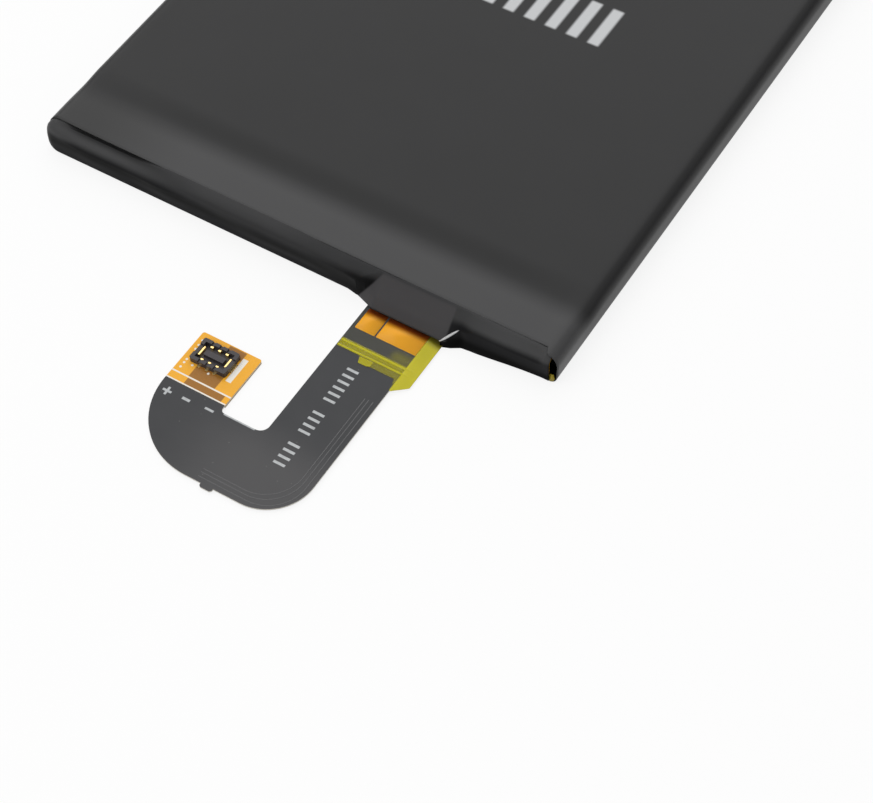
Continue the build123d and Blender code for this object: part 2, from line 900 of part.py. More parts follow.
def power_contact(side):
    """Wide gold contact at one end of the connector."""
    foot_level = copper_underside + copper_thickness
    top_level = tail_top + connector_height - rim_notch_depth - contact_top_gap
    inner = connector_length / 2 - connector_wall
    path = [
        (connector_length / 2 + contact_foot, foot_level + contact_thickness / 2),
        (inner - contact_thickness / 2, foot_level + contact_thickness / 2),
        (inner - contact_thickness / 2, top_level),
        (inner - contact_thickness / 2 - contact_fold, top_level),
        (inner - contact_thickness / 2 - contact_fold, top_level - contact_tip_drop),
    ]
    radii = [contact_bend_radius] * 3
    outline, outline_radii = strip_outline(path, radii, -contact_thickness / 2, contact_thickness / 2)
    contact = prism_y(outline, outline_radii, -power_contact_width / 2, power_contact_width / 2)
    turned = contact if side > 0 else Rot(0, 0, 180) * contact
    return Pos(connector_x, connector_y, 0) * turned


def contact_slot(x_range, y_range):
    """Clearance round the foot of a contact, through the cover film and the foot of the wall."""
    top = copper_underside + copper_thickness + contact_thickness + contact_slot_clearance
    return block(x_range, y_range, (copper_underside + copper_thickness, top))


def contact_slots():
    """Clearances of all contact feet."""
    grow = contact_slot_clearance
    half_contact = contact_width / 2 + grow
    inner_y = connector_width / 2 - connector_wall - contact_thickness - grow
    outer_y = connector_width / 2 + contact_foot + grow
    slots = []
    for x in contact_xs():
        x_range = (x - half_contact, x + half_contact)
        slots.append(contact_slot(x_range, (connector_y + inner_y, connector_y + outer_y)))
        slots.append(contact_slot(x_range, (connector_y - outer_y, connector_y - inner_y)))
    half_power = power_contact_width / 2 + grow
    inner_x = connector_length / 2 - connector_wall - contact_thickness - grow
    outer_x = connector_length / 2 + contact_foot + grow
    y_range = (connector_y - half_power, connector_y + half_power)
    slots.append(contact_slot((connector_x + inner_x, connector_x + outer_x), y_range))
    slots.append(contact_slot((connector_x - outer_x, connector_x - inner_x), y_range))
    return slots


def rim_notches():
    """Notches of the connector rim over each contact."""
    low = tail_top + connector_height - rim_notch_depth
    levels = (low, pack_thickness)
    half_contact = contact_width / 2 + contact_slot_clearance
    half_power = power_contact_width / 2 + contact_slot_clearance
    whole_length = (connector_left, connector_right)
    whole_width = (connector_y - connector_width / 2, connector_y + connector_width / 2)
    notches = [block((x - half_contact, x + half_contact), whole_width, levels) for x in contact_xs()]
    notches.append(block(whole_length, (connector_y - half_power, connector_y + half_power), levels))
    return notches


def connector_housing(contacts):
    """Moulded frame with a floor, a notched rim and a centre island."""
    top = tail_top + connector_height
    floor_top = tail_top + connector_floor
    frame = connector_frame()
    radii = [connector_corner_radius] * 4
    cavity, cavity_radii = inset_outline(frame, radii, connector_wall)
    housing = prism_z(frame, radii, tail_top, top)
    housing -= prism_z(cavity, cavity_radii, floor_top, top)
    for notch in rim_notches():
        housing -= notch
    for slot in contact_slots():
        housing -= slot
    for contact in contacts:
        housing -= contact
    return housing + block(
        (connector_x - island_length / 2, connector_x + island_length / 2),
        (connector_y - island_width / 2, connector_y + island_width / 2),
        (tail_top + connector_floor / 2, tail_top + island_height),
    )


def flex_root_tape():
    """Yellow tape across the root, with an overhang and a cut corner on the right and a small tab."""
    left = leg_a_left + root_tape_left_inset
    right = root_right + root_tape_overhang - root_extra_width
    start = front_y - root_tape_start
    left_end = front_y - root_tape_left_reach
    right_end = front_y - root_tape_right_reach
    points = [
        (left, left_end),
        (leg_a_right, left_end),
        (leg_a_right, right_end),
        (right - root_tape_cut, right_end),
        (right, right_end + root_tape_cut),
        (right, start),
        (left, start),
    ]
    top = tail_top + root_tape_thickness
    tape = prism_z(points, [0] * len(points), tail_top, top)
    tab_left = leg_a_left + root_tape_tab_offset
    tab_right = tab_left + root_tape_tab_length
    tab_low = left_end - root_tape_tab_depth
    tab_points = [
        (tab_left, tab_low),
        (tab_right, tab_low),
        (tab_right, left_end + root_tape_tab_depth),
        (tab_left, left_end + root_tape_tab_depth),
    ]
    tab_radii = [root_tape_tab_depth / 2, root_tape_tab_depth / 2, 0, 0]
    return tape + prism_z(tab_points, tab_radii, tail_top, top)


def flex_solder(traces):
    """Solder between the bare ends of the traces and the board."""
    pads = []
    front = board_front_y + base_film_end
    root = block((leg_c_left, root_right), (front, root_end_y), (board_top, pack_thickness))
    for trace in traces:
        end = (trace & root).bounding_box()
        levels = (board_top, board_top + copper_level)
        pads.append(block((end.min.X, end.max.X), (end.min.Y, end.max.Y), levels))
    return Compound(children=pads)


plan = flex_plan()
bands = {
    "flex_bottom_coverlay": flex_layer(0, base_film_level, board_front_y + bottom_coverlay_end) & plan,
    "flex_base_film": flex_layer(base_film_level, copper_level, board_front_y + base_film_end) & plan,
}
positive = positive_trace()
negative = negative_trace()
signals = signal_traces()
cover = flex_layer(copper_level, coverlay_top_level, root_end_y) & plan
for copper in [positive, negative] + signals:
    cover -= copper

contacts = [signal_contact(x, side) for x in contact_xs() for side in (-1, 1)]
powers = [power_contact(side) for side in (-1, 1)]
pad_cover = cover & pad_zone(pad_boundary_y, front_y)
for slot in contact_slots():
    pad_cover -= slot

save(label_wrap(), "label_wrap")
save(header_tape(), "header_tape")
save(pouch_cell(), "pouch_cell")
for pole, centre in tab_centres.items():
    save(tab_strip(centre), pole + "_tab")
    save(tab_seal_block(centre) - tab_strip(centre), pole + "_tab_seal")
    save(weld_plate(centre), pole + "_weld_plate")
save(terrace_foam(), "terrace_foam")
save(protection_board(), "protection_board")
save(
    leaded_chip(protection_chip_x, board_middle_y, protection_chip_size, protection_chip_lead_count),
    "protection_chip",
)
save(leaded_chip(mosfet_x, board_middle_y, mosfet_size, mosfet_lead_count), "mosfet_pair")
save(passive_row(board_middle_y - passive_row_offset, resistor_size), "chip_resistors")
save(passive_row(board_middle_y + passive_row_offset, capacitor_size), "chip_capacitors")
save(two_terminal_chip(sensor_x, board_middle_y, sensor_size), "temperature_sensor")
save(two_terminal_chip(fuse_x, board_middle_y, fuse_size), "cutoff_fuse")
save(board_insulation_tape(), "board_insulation_tape")
for name, layer in bands.items():
    save(layer, name)
save(cover - pad_zone(pad_boundary_y, front_y) - root_windows(), "flex_top_coverlay")
save(pad_cover, "pad_coverlay")
save(positive, "positive_trace")
save(negative, "negative_trace")
save(Compound(children=signals), "signal_traces")
save(flex_solder([positive, negative] + signals[:len(signal_bands)]), "flex_solder")
save(pad_stiffener(), "pad_stiffener")
save(connector_housing(contacts + powers), "connector_housing")
save(Compound(children=contacts), "signal_contacts")
save(Compound(children=powers), "power_contacts")
save(flex_root_tape(), "flex_root_tape")
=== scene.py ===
import logging
import math
from collections.abc import Callable, Iterable, Sequence
from dataclasses import dataclass, field
from enum import Enum
from functools import partial, reduce

import bmesh
import bpy
from mathutils import Matrix, Vector, noise


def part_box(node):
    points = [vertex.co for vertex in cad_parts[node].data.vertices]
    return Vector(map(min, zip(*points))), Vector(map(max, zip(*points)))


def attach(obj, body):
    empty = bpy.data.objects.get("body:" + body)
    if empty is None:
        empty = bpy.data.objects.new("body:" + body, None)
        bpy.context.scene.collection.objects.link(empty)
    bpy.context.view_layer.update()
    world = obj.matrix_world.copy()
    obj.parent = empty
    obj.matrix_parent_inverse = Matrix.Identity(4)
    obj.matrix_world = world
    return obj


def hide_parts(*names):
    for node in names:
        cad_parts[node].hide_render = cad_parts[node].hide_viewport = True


# Slim lithium pack for a mobile phone, in a black film sleeve, with a taped header and a flexible
# printed tail. Shapes are worked out in millimetres in the frame of the solids and are scaled to
# metres when their mesh is made. X runs across the pack, Y along it and Z is up.

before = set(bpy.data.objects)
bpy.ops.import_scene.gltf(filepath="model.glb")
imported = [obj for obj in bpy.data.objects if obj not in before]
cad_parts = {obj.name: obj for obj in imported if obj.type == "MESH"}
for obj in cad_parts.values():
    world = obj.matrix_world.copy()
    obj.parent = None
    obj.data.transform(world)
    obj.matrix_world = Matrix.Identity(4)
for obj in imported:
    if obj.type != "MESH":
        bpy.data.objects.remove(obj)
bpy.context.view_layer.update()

log = logging.getLogger("battery")

MM = 0.001
BODY = "root"
PHOTO_WIDTH = 873
SENSOR_WIDTH_MM = 36.0
MERGE_MM = 1e-4
QUARTER_TURN = 90
PRINT_EDGE_MM = 0.03

# Shared by the sleeve and the header tape: the lap line and the roundings of the pack
LAP_Y = -44.45
CORNER_RADIUS = 1.3
SIDE_TOP_RADIUS = 1.6
SIDE_TOP_SHARE = 0.6
SIDE_BOTTOM_RADIUS = 0.9
SIDE_BOTTOM_SHARE = 0.35

Colour = tuple[float, float, float]
Point = tuple[float, float, float]
Span = tuple[float, float]
Socket = bpy.types.NodeSocket
Material = bpy.types.Material


def smooth(low: float, high: float, value: float) -> float:
    """Soft step from 0 at low to 1 at high, which may be the smaller number."""
    share = min(max((value - low) / (high - low), 0.0), 1.0)
    return share * share * (3 - 2 * share)


def plateau(rise: Span, fall: Span, value: float) -> float:
    """Soft rise over one span and soft fall over another."""
    return smooth(*rise, value) * smooth(*fall, value)


def hump(middle: float, reach: float, value: float) -> float:
    """Soft rise to 1 at the middle, back to 0 at a reach on either side."""
    return smooth(reach, 0.0, abs(value - middle))


def rounding(radius: float, turn: float) -> float:
    """How far a rounded edge has drawn back after a turn in radians."""
    return radius * (1 - math.cos(turn))


def side_radii(height: float) -> Span:
    """Upper and lower radius of the pack's side, eased where its height is small."""
    return min(SIDE_TOP_RADIUS, SIDE_TOP_SHARE * height), min(SIDE_BOTTOM_RADIUS, SIDE_BOTTOM_SHARE * height)


def node_box(node: str) -> tuple[Vector, Vector]:
    """Lowest and highest corner of a solid, in millimetres."""
    low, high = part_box(node)
    return low / MM, high / MM


class Slot(Enum):
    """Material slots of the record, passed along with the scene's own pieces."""

    FILM = "black_film"
    TAPE = "black_tape"
    YELLOW = "polyimide_yellow"
    AMBER = "polyimide_amber"
    COVERLAY = "flex_black"


class Axis(Enum):
    """Axes of the frame, by their place in a vector."""

    X = 0
    Y = 1
    Z = 2


class Nodes:
    """Node tree, with short calls for what every tree needs."""

    def __init__(self, tree: bpy.types.NodeTree) -> None:
        """Take hold of a tree.

        Args:
            tree: Node tree of a material or of the world.
        """
        self.tree = tree

    def add(self, kind: str, **settings: object) -> bpy.types.Node:
        """Add a node and set its properties."""
        node = self.tree.nodes.new(kind)
        for key, value in settings.items():
            setattr(node, key, value)
        return node

    def link(self, source: Socket, target: Socket) -> None:
        """Join an output to an input."""
        self.tree.links.new(source, target)

    def feed(self, target: Socket, value: object) -> None:
        """Give an input either a link or a plain value."""
        if isinstance(value, Socket):
            self.link(value, target)
        else:
            target.default_value = value

    def math(self, operation: str, first: object, second: object = 0.0) -> Socket:
        """Result of a sum on two numbers or sockets."""
        node = self.add("ShaderNodeMath", operation=operation)
        self.feed(node.inputs[0], first)
        self.feed(node.inputs[1], second)
        return node.outputs[0]

    def product(self, *masks: object) -> Socket:
        """Several masks, the first of them a socket, times each other."""
        return reduce(partial(self.math, "MULTIPLY"), masks)

    def larger(self, masks: Sequence[Socket]) -> Socket:
        """Highest of several masks."""
        return reduce(partial(self.math, "MAXIMUM"), masks)


class Graph(Nodes):
    """Node tree of one material, with short calls for the nodes that the finishes share."""

    def __init__(self, name: str) -> None:
        """Start a material with a Principled surface.

        Args:
            name: Name of the material.
        """
        self.material = bpy.data.materials.new(name)
        self.material.use_nodes = True
        super().__init__(self.material.node_tree)
        self.surface = self.tree.nodes["Principled BSDF"]
        self.place = self.add("ShaderNodeTexCoord").outputs["Object"]
        self.split = self.add("ShaderNodeSeparateXYZ")
        self.link(self.place, self.split.inputs[0])

    def axis(self, axis: Axis) -> Socket:
        """One coordinate of the piece, in metres."""
        return self.split.outputs[axis.value]

    def spread(self, value: Socket, start: float, end: float) -> Socket:
        """Soft step of a socket from 0 at start to 1 at end."""
        node = self.add("ShaderNodeMapRange", interpolation_type="SMOOTHSTEP")
        turned = start > end
        self.link(value, node.inputs["Value"])
        node.inputs["From Min"].default_value = min(start, end)
        node.inputs["From Max"].default_value = max(start, end)
        node.inputs["To Min"].default_value = 1.0 if turned else 0.0
        node.inputs["To Max"].default_value = 0.0 if turned else 1.0
        return node.outputs["Result"]

    def ramp(self, axis: Axis, start: float, end: float) -> Socket:
        """Soft step between two places on an axis, in millimetres."""
        return self.spread(self.axis(axis), start * MM, end * MM)

    def band(self, axis: Axis, low: float, high: float, soft: float) -> Socket:
        """1 between two places on an axis, in millimetres, with soft ends."""
        rise = self.ramp(axis, low - soft, low + soft)
        fall = self.ramp(axis, high + soft, high - soft)
        return self.product(rise, fall)

    def patch(self, x_range: Span, y_range: Span, soft: float) -> Socket:
        """1 inside a rectangle in plan, in millimetres, with soft edges."""
        return self.product(self.band(Axis.X, *x_range, soft), self.band(Axis.Y, *y_range, soft))

    def spot(self, x: float, y: float, radius: float) -> Socket:
        """1 inside a small disc in plan, in millimetres."""
        node = self.add("ShaderNodeVectorMath", operation="DISTANCE")
        flat = self.add("ShaderNodeVectorMath", operation="MULTIPLY")
        self.link(self.place, flat.inputs[0])
        flat.inputs[1].default_value = (1.0, 1.0, 0.0)
        self.link(flat.outputs[0], node.inputs[0])
        node.inputs[1].default_value = (x * MM, y * MM, 0.0)
        far, near = (radius + PRINT_EDGE_MM) * MM, (radius - PRINT_EDGE_MM) * MM
        return self.spread(node.outputs["Value"], far, near)

    def ticks(self, axis: Axis, start: float, pitch: float, share: float) -> Socket:
        """1 on a share of each pitch along an axis, in millimetres."""
        steps = self.math("DIVIDE", self.math("SUBTRACT", self.axis(axis), start * MM), pitch * MM)
        return self.math("LESS_THAN", self.math("FRACT", steps), share)

    def noise(self, size_mm: float, detail: float = 2.0, stretch: Point = (1, 1, 1)) -> Socket:
        """Cloudy pattern whose features have about the given size."""
        mapping = self.add("ShaderNodeMapping")
        mapping.inputs["Scale"].default_value = stretch
        self.link(self.place, mapping.inputs["Vector"])
        texture = self.add("ShaderNodeTexNoise")
        texture.inputs["Scale"].default_value = 1 / (size_mm * MM)
        texture.inputs["Detail"].default_value = detail
        self.link(mapping.outputs[0], texture.inputs["Vector"])
        return texture.outputs["Fac"]

    def mix(self, share: object, first: object, second: object) -> Socket:
        """Colour between two others."""
        # The colours of a Mix node are its inputs 6 and 7 and its output 2
        node = self.add("ShaderNodeMix", data_type="RGBA")
        self.feed(node.inputs["Factor"], share)
        for socket, value in ((node.inputs[6], first), (node.inputs[7], second)):
            self.feed(socket, value if isinstance(value, Socket) else (*value, 1.0))
        return node.outputs[2]

    def between(self, share: Socket, low: float, high: float) -> Socket:
        """Number between low and high."""
        node = self.add("ShaderNodeMapRange")
        self.link(share, node.inputs["Value"])
        node.inputs["To Min"].default_value = low
        node.inputs["To Max"].default_value = high
        return node.outputs["Result"]

    def bump(self, height: Socket, depth_mm: float) -> None:
        """Raise the surface by a height from 0 to 1, at full depth in millimetres."""
        node = self.add("ShaderNodeBump")
        node.inputs["Distance"].default_value = depth_mm * MM
        self.link(height, node.inputs["Height"])
        self.link(node.outputs[0], self.surface.inputs["Normal"])


@dataclass(frozen=True)
class Finish:
    """Plain finish with soft patches of tone, uneven gloss and a fine grain."""

    name: str
    colour: Colour
    shade: float = 0.8
    patch_mm: float = 5.0
    gloss: Span = (0.35, 0.45)
    grain_mm: float = 0.25
    grain_depth_mm: float = 0.002
    stretch: Point = (1, 1, 1)
    metallic: float = 0.0
    specular: float = 0.5
    detail: float = 3.0
    gloss_share: float = 0.6
    gloss_detail: float = 4.0

    def build(self) -> Material:
        """Make the material.

        Returns:
            The finished material.
        """
        graph = Graph(self.name)
        inputs = graph.surface.inputs
        inputs["Metallic"].default_value = self.metallic
        inputs["Specular IOR Level"].default_value = self.specular
        graph.link(self.paint(graph), inputs["Base Color"])
        graph.link(self.polish(graph), inputs["Roughness"])
        graph.bump(self.relief(graph), self.grain_depth_mm)
        return graph.material

    def darker(self) -> Colour:
        """Colour of the darker patches."""
        return tuple(channel * self.shade for channel in self.colour)

    def paint(self, graph: Graph) -> Socket:
        """Colour with its soft patches."""
        return graph.mix(graph.noise(self.patch_mm, self.detail), self.darker(), self.colour)

    def polish(self, graph: Graph) -> Socket:
        """Roughness, uneven as from handling."""
        return graph.between(graph.noise(self.patch_mm * self.gloss_share, self.gloss_detail), *self.gloss)

    def relief(self, graph: Graph) -> Socket:
        """Height of the grain."""
        return graph.noise(self.grain_mm, self.detail, self.stretch)


@dataclass(frozen=True)
class Mark:
    """Plain rectangle of a print, in millimetres in plan."""

    left: float
    right: float
    low: float
    high: float
    soft: float = PRINT_EDGE_MM

    def mask(self, graph: Graph) -> Socket:
        """1 inside the rectangle."""
        return graph.patch((self.left, self.right), (self.low, self.high), self.soft)


@dataclass(frozen=True)
class FilmFinish(Finish):
    """Black film with a painted sheen over its header zone and painted shade in the crease behind it."""

    # Painted sheen over the header zone, fading towards its left end
    header_y: Span = (-38.5, -41.2)
    header_sheen_colour: Colour = (0.052, 0.052, 0.053)
    header_sheen_end_x: Span = (-27.0, -13.0)
    header_sheen_end_colour: Colour = (0.03, 0.03, 0.03)
    # Painted shade in the crease behind the header
    crease_x: Span = (-21.0, 25.5)
    crease_x_soft: float = 4.0
    crease_y: Span = (-38.1, -37.1)
    crease_y_soft: float = 1.3
    crease_shade_colour: Colour = (0.009, 0.009, 0.009)
    print_z: Span = (3.0, 3.2)
    ink: Colour = (0.55, 0.56, 0.57)
    marks: tuple[Mark, ...] = ()

    def paint(self, graph: Graph) -> Socket:
        """Film colour with the painted sheen of its header, the painted shade of the crease between and the
        plain marks.
        """
        inward = graph.ramp(Axis.X, *self.header_sheen_end_x)
        header_sheen_tone = graph.mix(inward, self.header_sheen_end_colour, self.header_sheen_colour)
        header = graph.ramp(Axis.Y, *self.header_y)
        lighter = graph.mix(header, Finish.paint(self, graph), header_sheen_tone)
        near = graph.band(Axis.Y, *self.crease_y, self.crease_y_soft)
        fade = graph.band(Axis.X, *self.crease_x, self.crease_x_soft)
        creased = graph.mix(graph.product(near, fade), lighter, self.crease_shade_colour)
        printed = graph.larger([mark.mask(graph) for mark in self.marks])
        above = graph.ramp(Axis.Z, *self.print_z)
        return graph.mix(graph.product(printed, above), creased, self.ink)


@dataclass(frozen=True)
class TapeFinish(Finish):
    """Black tape with a painted sheen over the roll and the tongue, a painted highlight on the roll's crest
    and painted shade at the foot of its wall, in the slit and beside the tongue.
    """

    # Wall, with painted shade in deep_colour at its foot and under the roll
    deep_colour: Colour = (0.002, 0.002, 0.002)
    side_x: Span = (7.0, 9.0)
    foot_z: Span = (1.6, 0.8)
    band_z: Span = (1.5, 2.2)
    wall_soft: float = 0.4
    # Roll with its painted sheen, the painted highlight on its crest and the painted shadow in the pressed
    # slit
    roll_z: Span = (2.3, 3.0)
    roll_sheen_colour: Colour = (0.037, 0.037, 0.038)
    roll_end_sheen_colour: Colour = (0.06, 0.06, 0.061)
    middle_x: Span = (-18.0, 21.0)
    middle_soft: float = 5.0
    crest_x: Span = (-14.0, 1.0)
    crest_soft: float = 4.0
    crest_z: Span = (3.1, 3.85)
    crest_highlight_colour: Colour = (0.05, 0.05, 0.051)
    slit_x: Span = (-28.2, -17.6)
    slit_x_soft: float = 3.2
    slit_y: Span = (-45.06, -44.3)
    slit_y_soft: float = 0.3
    slit_shade_strength: float = 0.72
    # Tongue with its painted sheen, its fold and the painted shade in the hollow beside it
    tongue: Mark = Mark(8.45, 19.4, -47.5, -44.75, 0.15)
    tongue_z: Span = (0.65, 0.9)
    tongue_sheen_colour: Colour = (0.06, 0.058, 0.06)
    flap_x: Span = (11.4, 11.0)
    fold_x: Span = (8.35, 8.65)
    fold_slope: float = 0.68
    hollow_x: Span = (1.0, 8.5)
    hollow_z: Span = (0.7, 3.0)
    hollow_shade_strength: float = 0.74

    def wall(self, graph: Graph) -> Socket:
        """Plain tape with painted shade at the foot of the wall on the right and under the roll on the left.
        """
        right = graph.ramp(Axis.X, *self.side_x)
        foot = graph.product(right, graph.ramp(Axis.Z, *self.foot_z))
        under_roll = graph.band(Axis.Z, *self.band_z, self.wall_soft)
        left = graph.product(graph.math("SUBTRACT", 1.0, right), under_roll)
        return graph.mix(graph.math("ADD", foot, left), Finish.paint(self, graph), self.deep_colour)

    def rolled(self, graph: Graph) -> Socket:
        """Wall with the painted sheen of the roll over it, a painted highlight on the crest of the roll and
        the painted shadow of the pressed slit.
        """
        roll = graph.ramp(Axis.Z, *self.roll_z)
        middle = graph.band(Axis.X, *self.middle_x, self.middle_soft)
        result = graph.mix(roll, self.wall(graph), graph.mix(middle, self.roll_end_sheen_colour, self.roll_sheen_colour))
        high = graph.ramp(Axis.Z, *self.crest_z)
        crest = graph.product(high, graph.band(Axis.X, *self.crest_x, self.crest_soft))
        result = graph.mix(crest, result, self.crest_highlight_colour)
        across = graph.band(Axis.X, *self.slit_x, self.slit_x_soft)
        along = graph.band(Axis.Y, *self.slit_y, self.slit_y_soft)
        return graph.mix(graph.product(across, along, roll, self.slit_shade_strength), result, self.deep_colour)

    def paint(self, graph: Graph) -> Socket:
        """Rolled wall with the painted sheen of the tongue inside its slanted fold and the painted shade of
        the hollow outside it.
        """
        slant = graph.math("MULTIPLY", graph.axis(Axis.Z), self.fold_slope)
        across = graph.math("SUBTRACT", graph.axis(Axis.X), slant)
        near, far = (x * MM for x in self.fold_x)
        raised = graph.larger([graph.ramp(Axis.Z, *self.tongue_z), graph.ramp(Axis.X, *self.flap_x)])
        over = graph.product(self.tongue.mask(graph), raised, graph.spread(across, near, far))
        low = graph.band(Axis.Z, *self.hollow_z, self.wall_soft)
        beside = graph.product(graph.ramp(Axis.X, *self.hollow_x), low)
        hollow = graph.product(graph.spread(across, far, near), beside, self.hollow_shade_strength)
        shaded = graph.mix(hollow, self.rolled(graph), self.deep_colour)
        return graph.mix(over, shaded, self.tongue_sheen_colour)


@dataclass(frozen=True)
class EdgedFinish(Finish):
    """Film whose upright cut edges show paler than its faces."""

    edge_colour: Colour = (0.5, 0.48, 0.44)
    upright_below: float = 0.35

    def face(self, graph: Graph) -> Socket:
        """Colour of the flat faces."""
        return Finish.paint(self, graph)

    def paint(self, graph: Graph) -> Socket:
        """Colour of the faces, and the paler cut edges."""
        normal = graph.add("ShaderNodeSeparateXYZ")
        graph.link(graph.add("ShaderNodeNewGeometry").outputs["Normal"], normal.inputs[0])
        upright = graph.math("LESS_THAN", graph.math("ABSOLUTE", normal.outputs["Z"]), self.upright_below)
        return graph.mix(upright, self.face(graph), self.edge_colour)


@dataclass(frozen=True)
class CoverlayFinish(EdgedFinish):
    """Matt black cover film with a painted sheen in its bend, a few light specks and rows of plain white
    marks.
    """

    # Painted sheen, paler towards the bend of the flex
    bend_sheen_colour: Colour = (0.078, 0.077, 0.079)
    bend_sheen_x: Span = (1.0, 10.5)
    bend_sheen_y: Span = (-62.0, -68.0)
    speck_colour: Colour = (0.3, 0.3, 0.28)
    speck_mm: float = 1.1
    speck_size: float = 0.045
    speck_strength: float = 0.35
    ink: Colour = (0.6, 0.62, 0.63)
    ink_mm: float = 0.25
    ink_strength: Span = (0.55, 1.0)
    rows: tuple[Mark, ...] = ()
    row_pitch: float = 0.82
    row_share: float = 0.36
    marks: tuple[Mark, ...] = ()

    def face(self, graph: Graph) -> Socket:
        """Cover colour with a painted sheen in the bend, with its specks and marks."""
        bend_sheen = graph.product(graph.ramp(Axis.X, *self.bend_sheen_x), graph.ramp(Axis.Y, *self.bend_sheen_y))
        plain = graph.mix(bend_sheen, Finish.paint(self, graph), self.bend_sheen_colour)
        cells = graph.add("ShaderNodeTexVoronoi")
        cells.inputs["Scale"].default_value = 1 / (self.speck_mm * MM)
        graph.link(graph.place, cells.inputs["Vector"])
        speck = graph.math("LESS_THAN", cells.outputs["Distance"], self.speck_size)
        specked = graph.mix(graph.product(speck, self.speck_strength), plain, self.speck_colour)
        masks = [mark.mask(graph) for mark in self.marks]
        for row in self.rows:
            ticks = graph.ticks(Axis.Y, row.low, self.row_pitch, self.row_share)
            masks.append(graph.product(row.mask(graph), ticks))
        worn = graph.between(graph.noise(self.ink_mm), *self.ink_strength)
        return graph.mix(graph.product(graph.larger(masks), worn), specked, self.ink)


@dataclass(frozen=True)
class PadFinish(EdgedFinish):
    """Amber cover film whose tone deepens over the copper beneath it, with white printed lines."""

    deep_colour: Colour = (0.2, 0.075, 0.02)
    deep_strength: float = 0.8
    deep_areas: tuple[Mark, ...] = ()
    ink: Colour = (0.85, 0.82, 0.75)
    lines: tuple[Mark, ...] = ()
    dots: tuple[Span, ...] = ()
    dot_radius: float = 0.13

    def face(self, graph: Graph) -> Socket:
        """Amber with its deeper areas and its print."""
        deep = graph.larger([area.mask(graph) for area in self.deep_areas])
        deep = graph.product(deep, self.deep_strength)
        deepened = graph.mix(deep, Finish.paint(self, graph), self.deep_colour)
        printed = [line.mask(graph) for line in self.lines]
        printed += [graph.spot(x, y, self.dot_radius) for x, y in self.dots]
        return graph.mix(graph.larger(printed), deepened, self.ink)


@dataclass(frozen=True)
class ShadowedRootFinish(Finish):
    """Amber film with a painted brown shadow where it runs in under the tongue."""

    # Painted shadow of the tongue over the film's root
    tongue_shadow_colour: Colour = (0.22, 0.04, 0.006)
    root_y: Span = (-48.15, -47.35)

    def paint(self, graph: Graph) -> Socket:
        """Film colour with the painted shadow of the tongue over its root."""
        return graph.mix(graph.ramp(Axis.Y, *self.root_y), Finish.paint(self, graph), self.tongue_shadow_colour)


@dataclass(frozen=True)
class ClearTapeFinish(ShadowedRootFinish):
    """Clear yellow tape: faint over the dark flex, full where it stands clear of the flex or is doubled, with
    painted highlights along its creases and a painted shadow under the tongue.
    """

    # Painted shadow where the tape runs in under the tongue
    tongue_shadow_colour: Colour = (0.1, 0.085, 0.008)
    root_y: Span = (-48.3, -47.2)
    faint: Span = (0.0084, 0.0156)
    faint_mm: float = 0.8
    zones: tuple[tuple[Mark, float], ...] = ()

    def paint(self, graph: Graph) -> Socket:
        """Tape colour, with the alpha of its zones set on the way."""
        alphas = [graph.between(graph.noise(self.faint_mm, self.detail), *self.faint)]
        alphas += [graph.product(area.mask(graph), strength) for area, strength in self.zones]
        graph.link(graph.larger(alphas), graph.surface.inputs["Alpha"])
        return ShadowedRootFinish.paint(self, graph)


@dataclass(frozen=True)
class LaminateFinish(Finish):
    """Glass-fibre laminate with its woven cloth showing through."""

    weave_mm: float = 0.4
    wave_share: float = 0.3
    wander: float = 0.4

    def weave(self, graph: Graph) -> Socket:
        """Crossing threads of the cloth."""
        threads = []
        for direction in ("X", "Y"):
            wave = graph.add("ShaderNodeTexWave", wave_type="BANDS", bands_direction=direction)
            wave.inputs["Scale"].default_value = self.wave_share / (self.weave_mm * MM)
            wave.inputs["Distortion"].default_value = self.wander
            graph.link(graph.place, wave.inputs["Vector"])
            threads.append(wave.outputs["Fac"])
        return graph.product(*threads)

    def paint(self, graph: Graph) -> Socket:
        """Laminate colour, darker between the threads."""
        return graph.mix(self.weave(graph), self.darker(), self.colour)

    def relief(self, graph: Graph) -> Socket:
        """Height of the threads."""
        return self.weave(graph)


@dataclass
class Piece:
    """Mesh under construction, in millimetres."""

    name: str
    points: list[Vector] = field(default_factory=list)
    faces: list[list[int]] = field(default_factory=list)

    def row(self, points: Iterable[Vector]) -> list[int]:
        """Add points and give back their numbers."""
        start = len(self.points)
        self.points.extend(points)
        return list(range(start, len(self.points)))

    def bridge(
        self,
        first: Sequence[int],
        second: Sequence[int],
        closed: bool = False,
        keep: Callable[[int], bool] = lambda index: True,
    ) -> None:
        """Join two equal rows of points with quads.

        Args:
            first: Numbers of the first row.
            second: Numbers of the second row.
            closed: Whether the rows are rings.
            keep: Says for each quad whether it is made.
        """
        count = len(first)
        for index in range(count if closed else count - 1):
            after = (index + 1) % count
            if keep(index):
                self.faces.append([first[index], first[after], second[after], second[index]])

    def make(self, material: Material) -> bpy.types.Object:
        """Turn the points and faces into a smooth mesh object at the origin.

        Args:
            material: Finish of the whole piece.

        Returns:
            The new object, in metres.
        """
        mesh = bpy.data.meshes.new(self.name)
        mesh.from_pydata([point * MM for point in self.points], [], self.faces)
        tidy = bmesh.new()
        tidy.from_mesh(mesh)
        bmesh.ops.remove_doubles(tidy, verts=tidy.verts, dist=MERGE_MM * MM)
        loose = [vert for vert in tidy.verts if not vert.link_faces]
        bmesh.ops.delete(tidy, geom=loose, context="VERTS")
        bmesh.ops.recalc_face_normals(tidy, faces=tidy.faces)
        tidy.to_mesh(mesh)
        tidy.free()
        mesh.shade_smooth()
        mesh.materials.append(material)
        made = bpy.data.objects.new(self.name, mesh)
        bpy.context.scene.collection.objects.link(made)
        return made


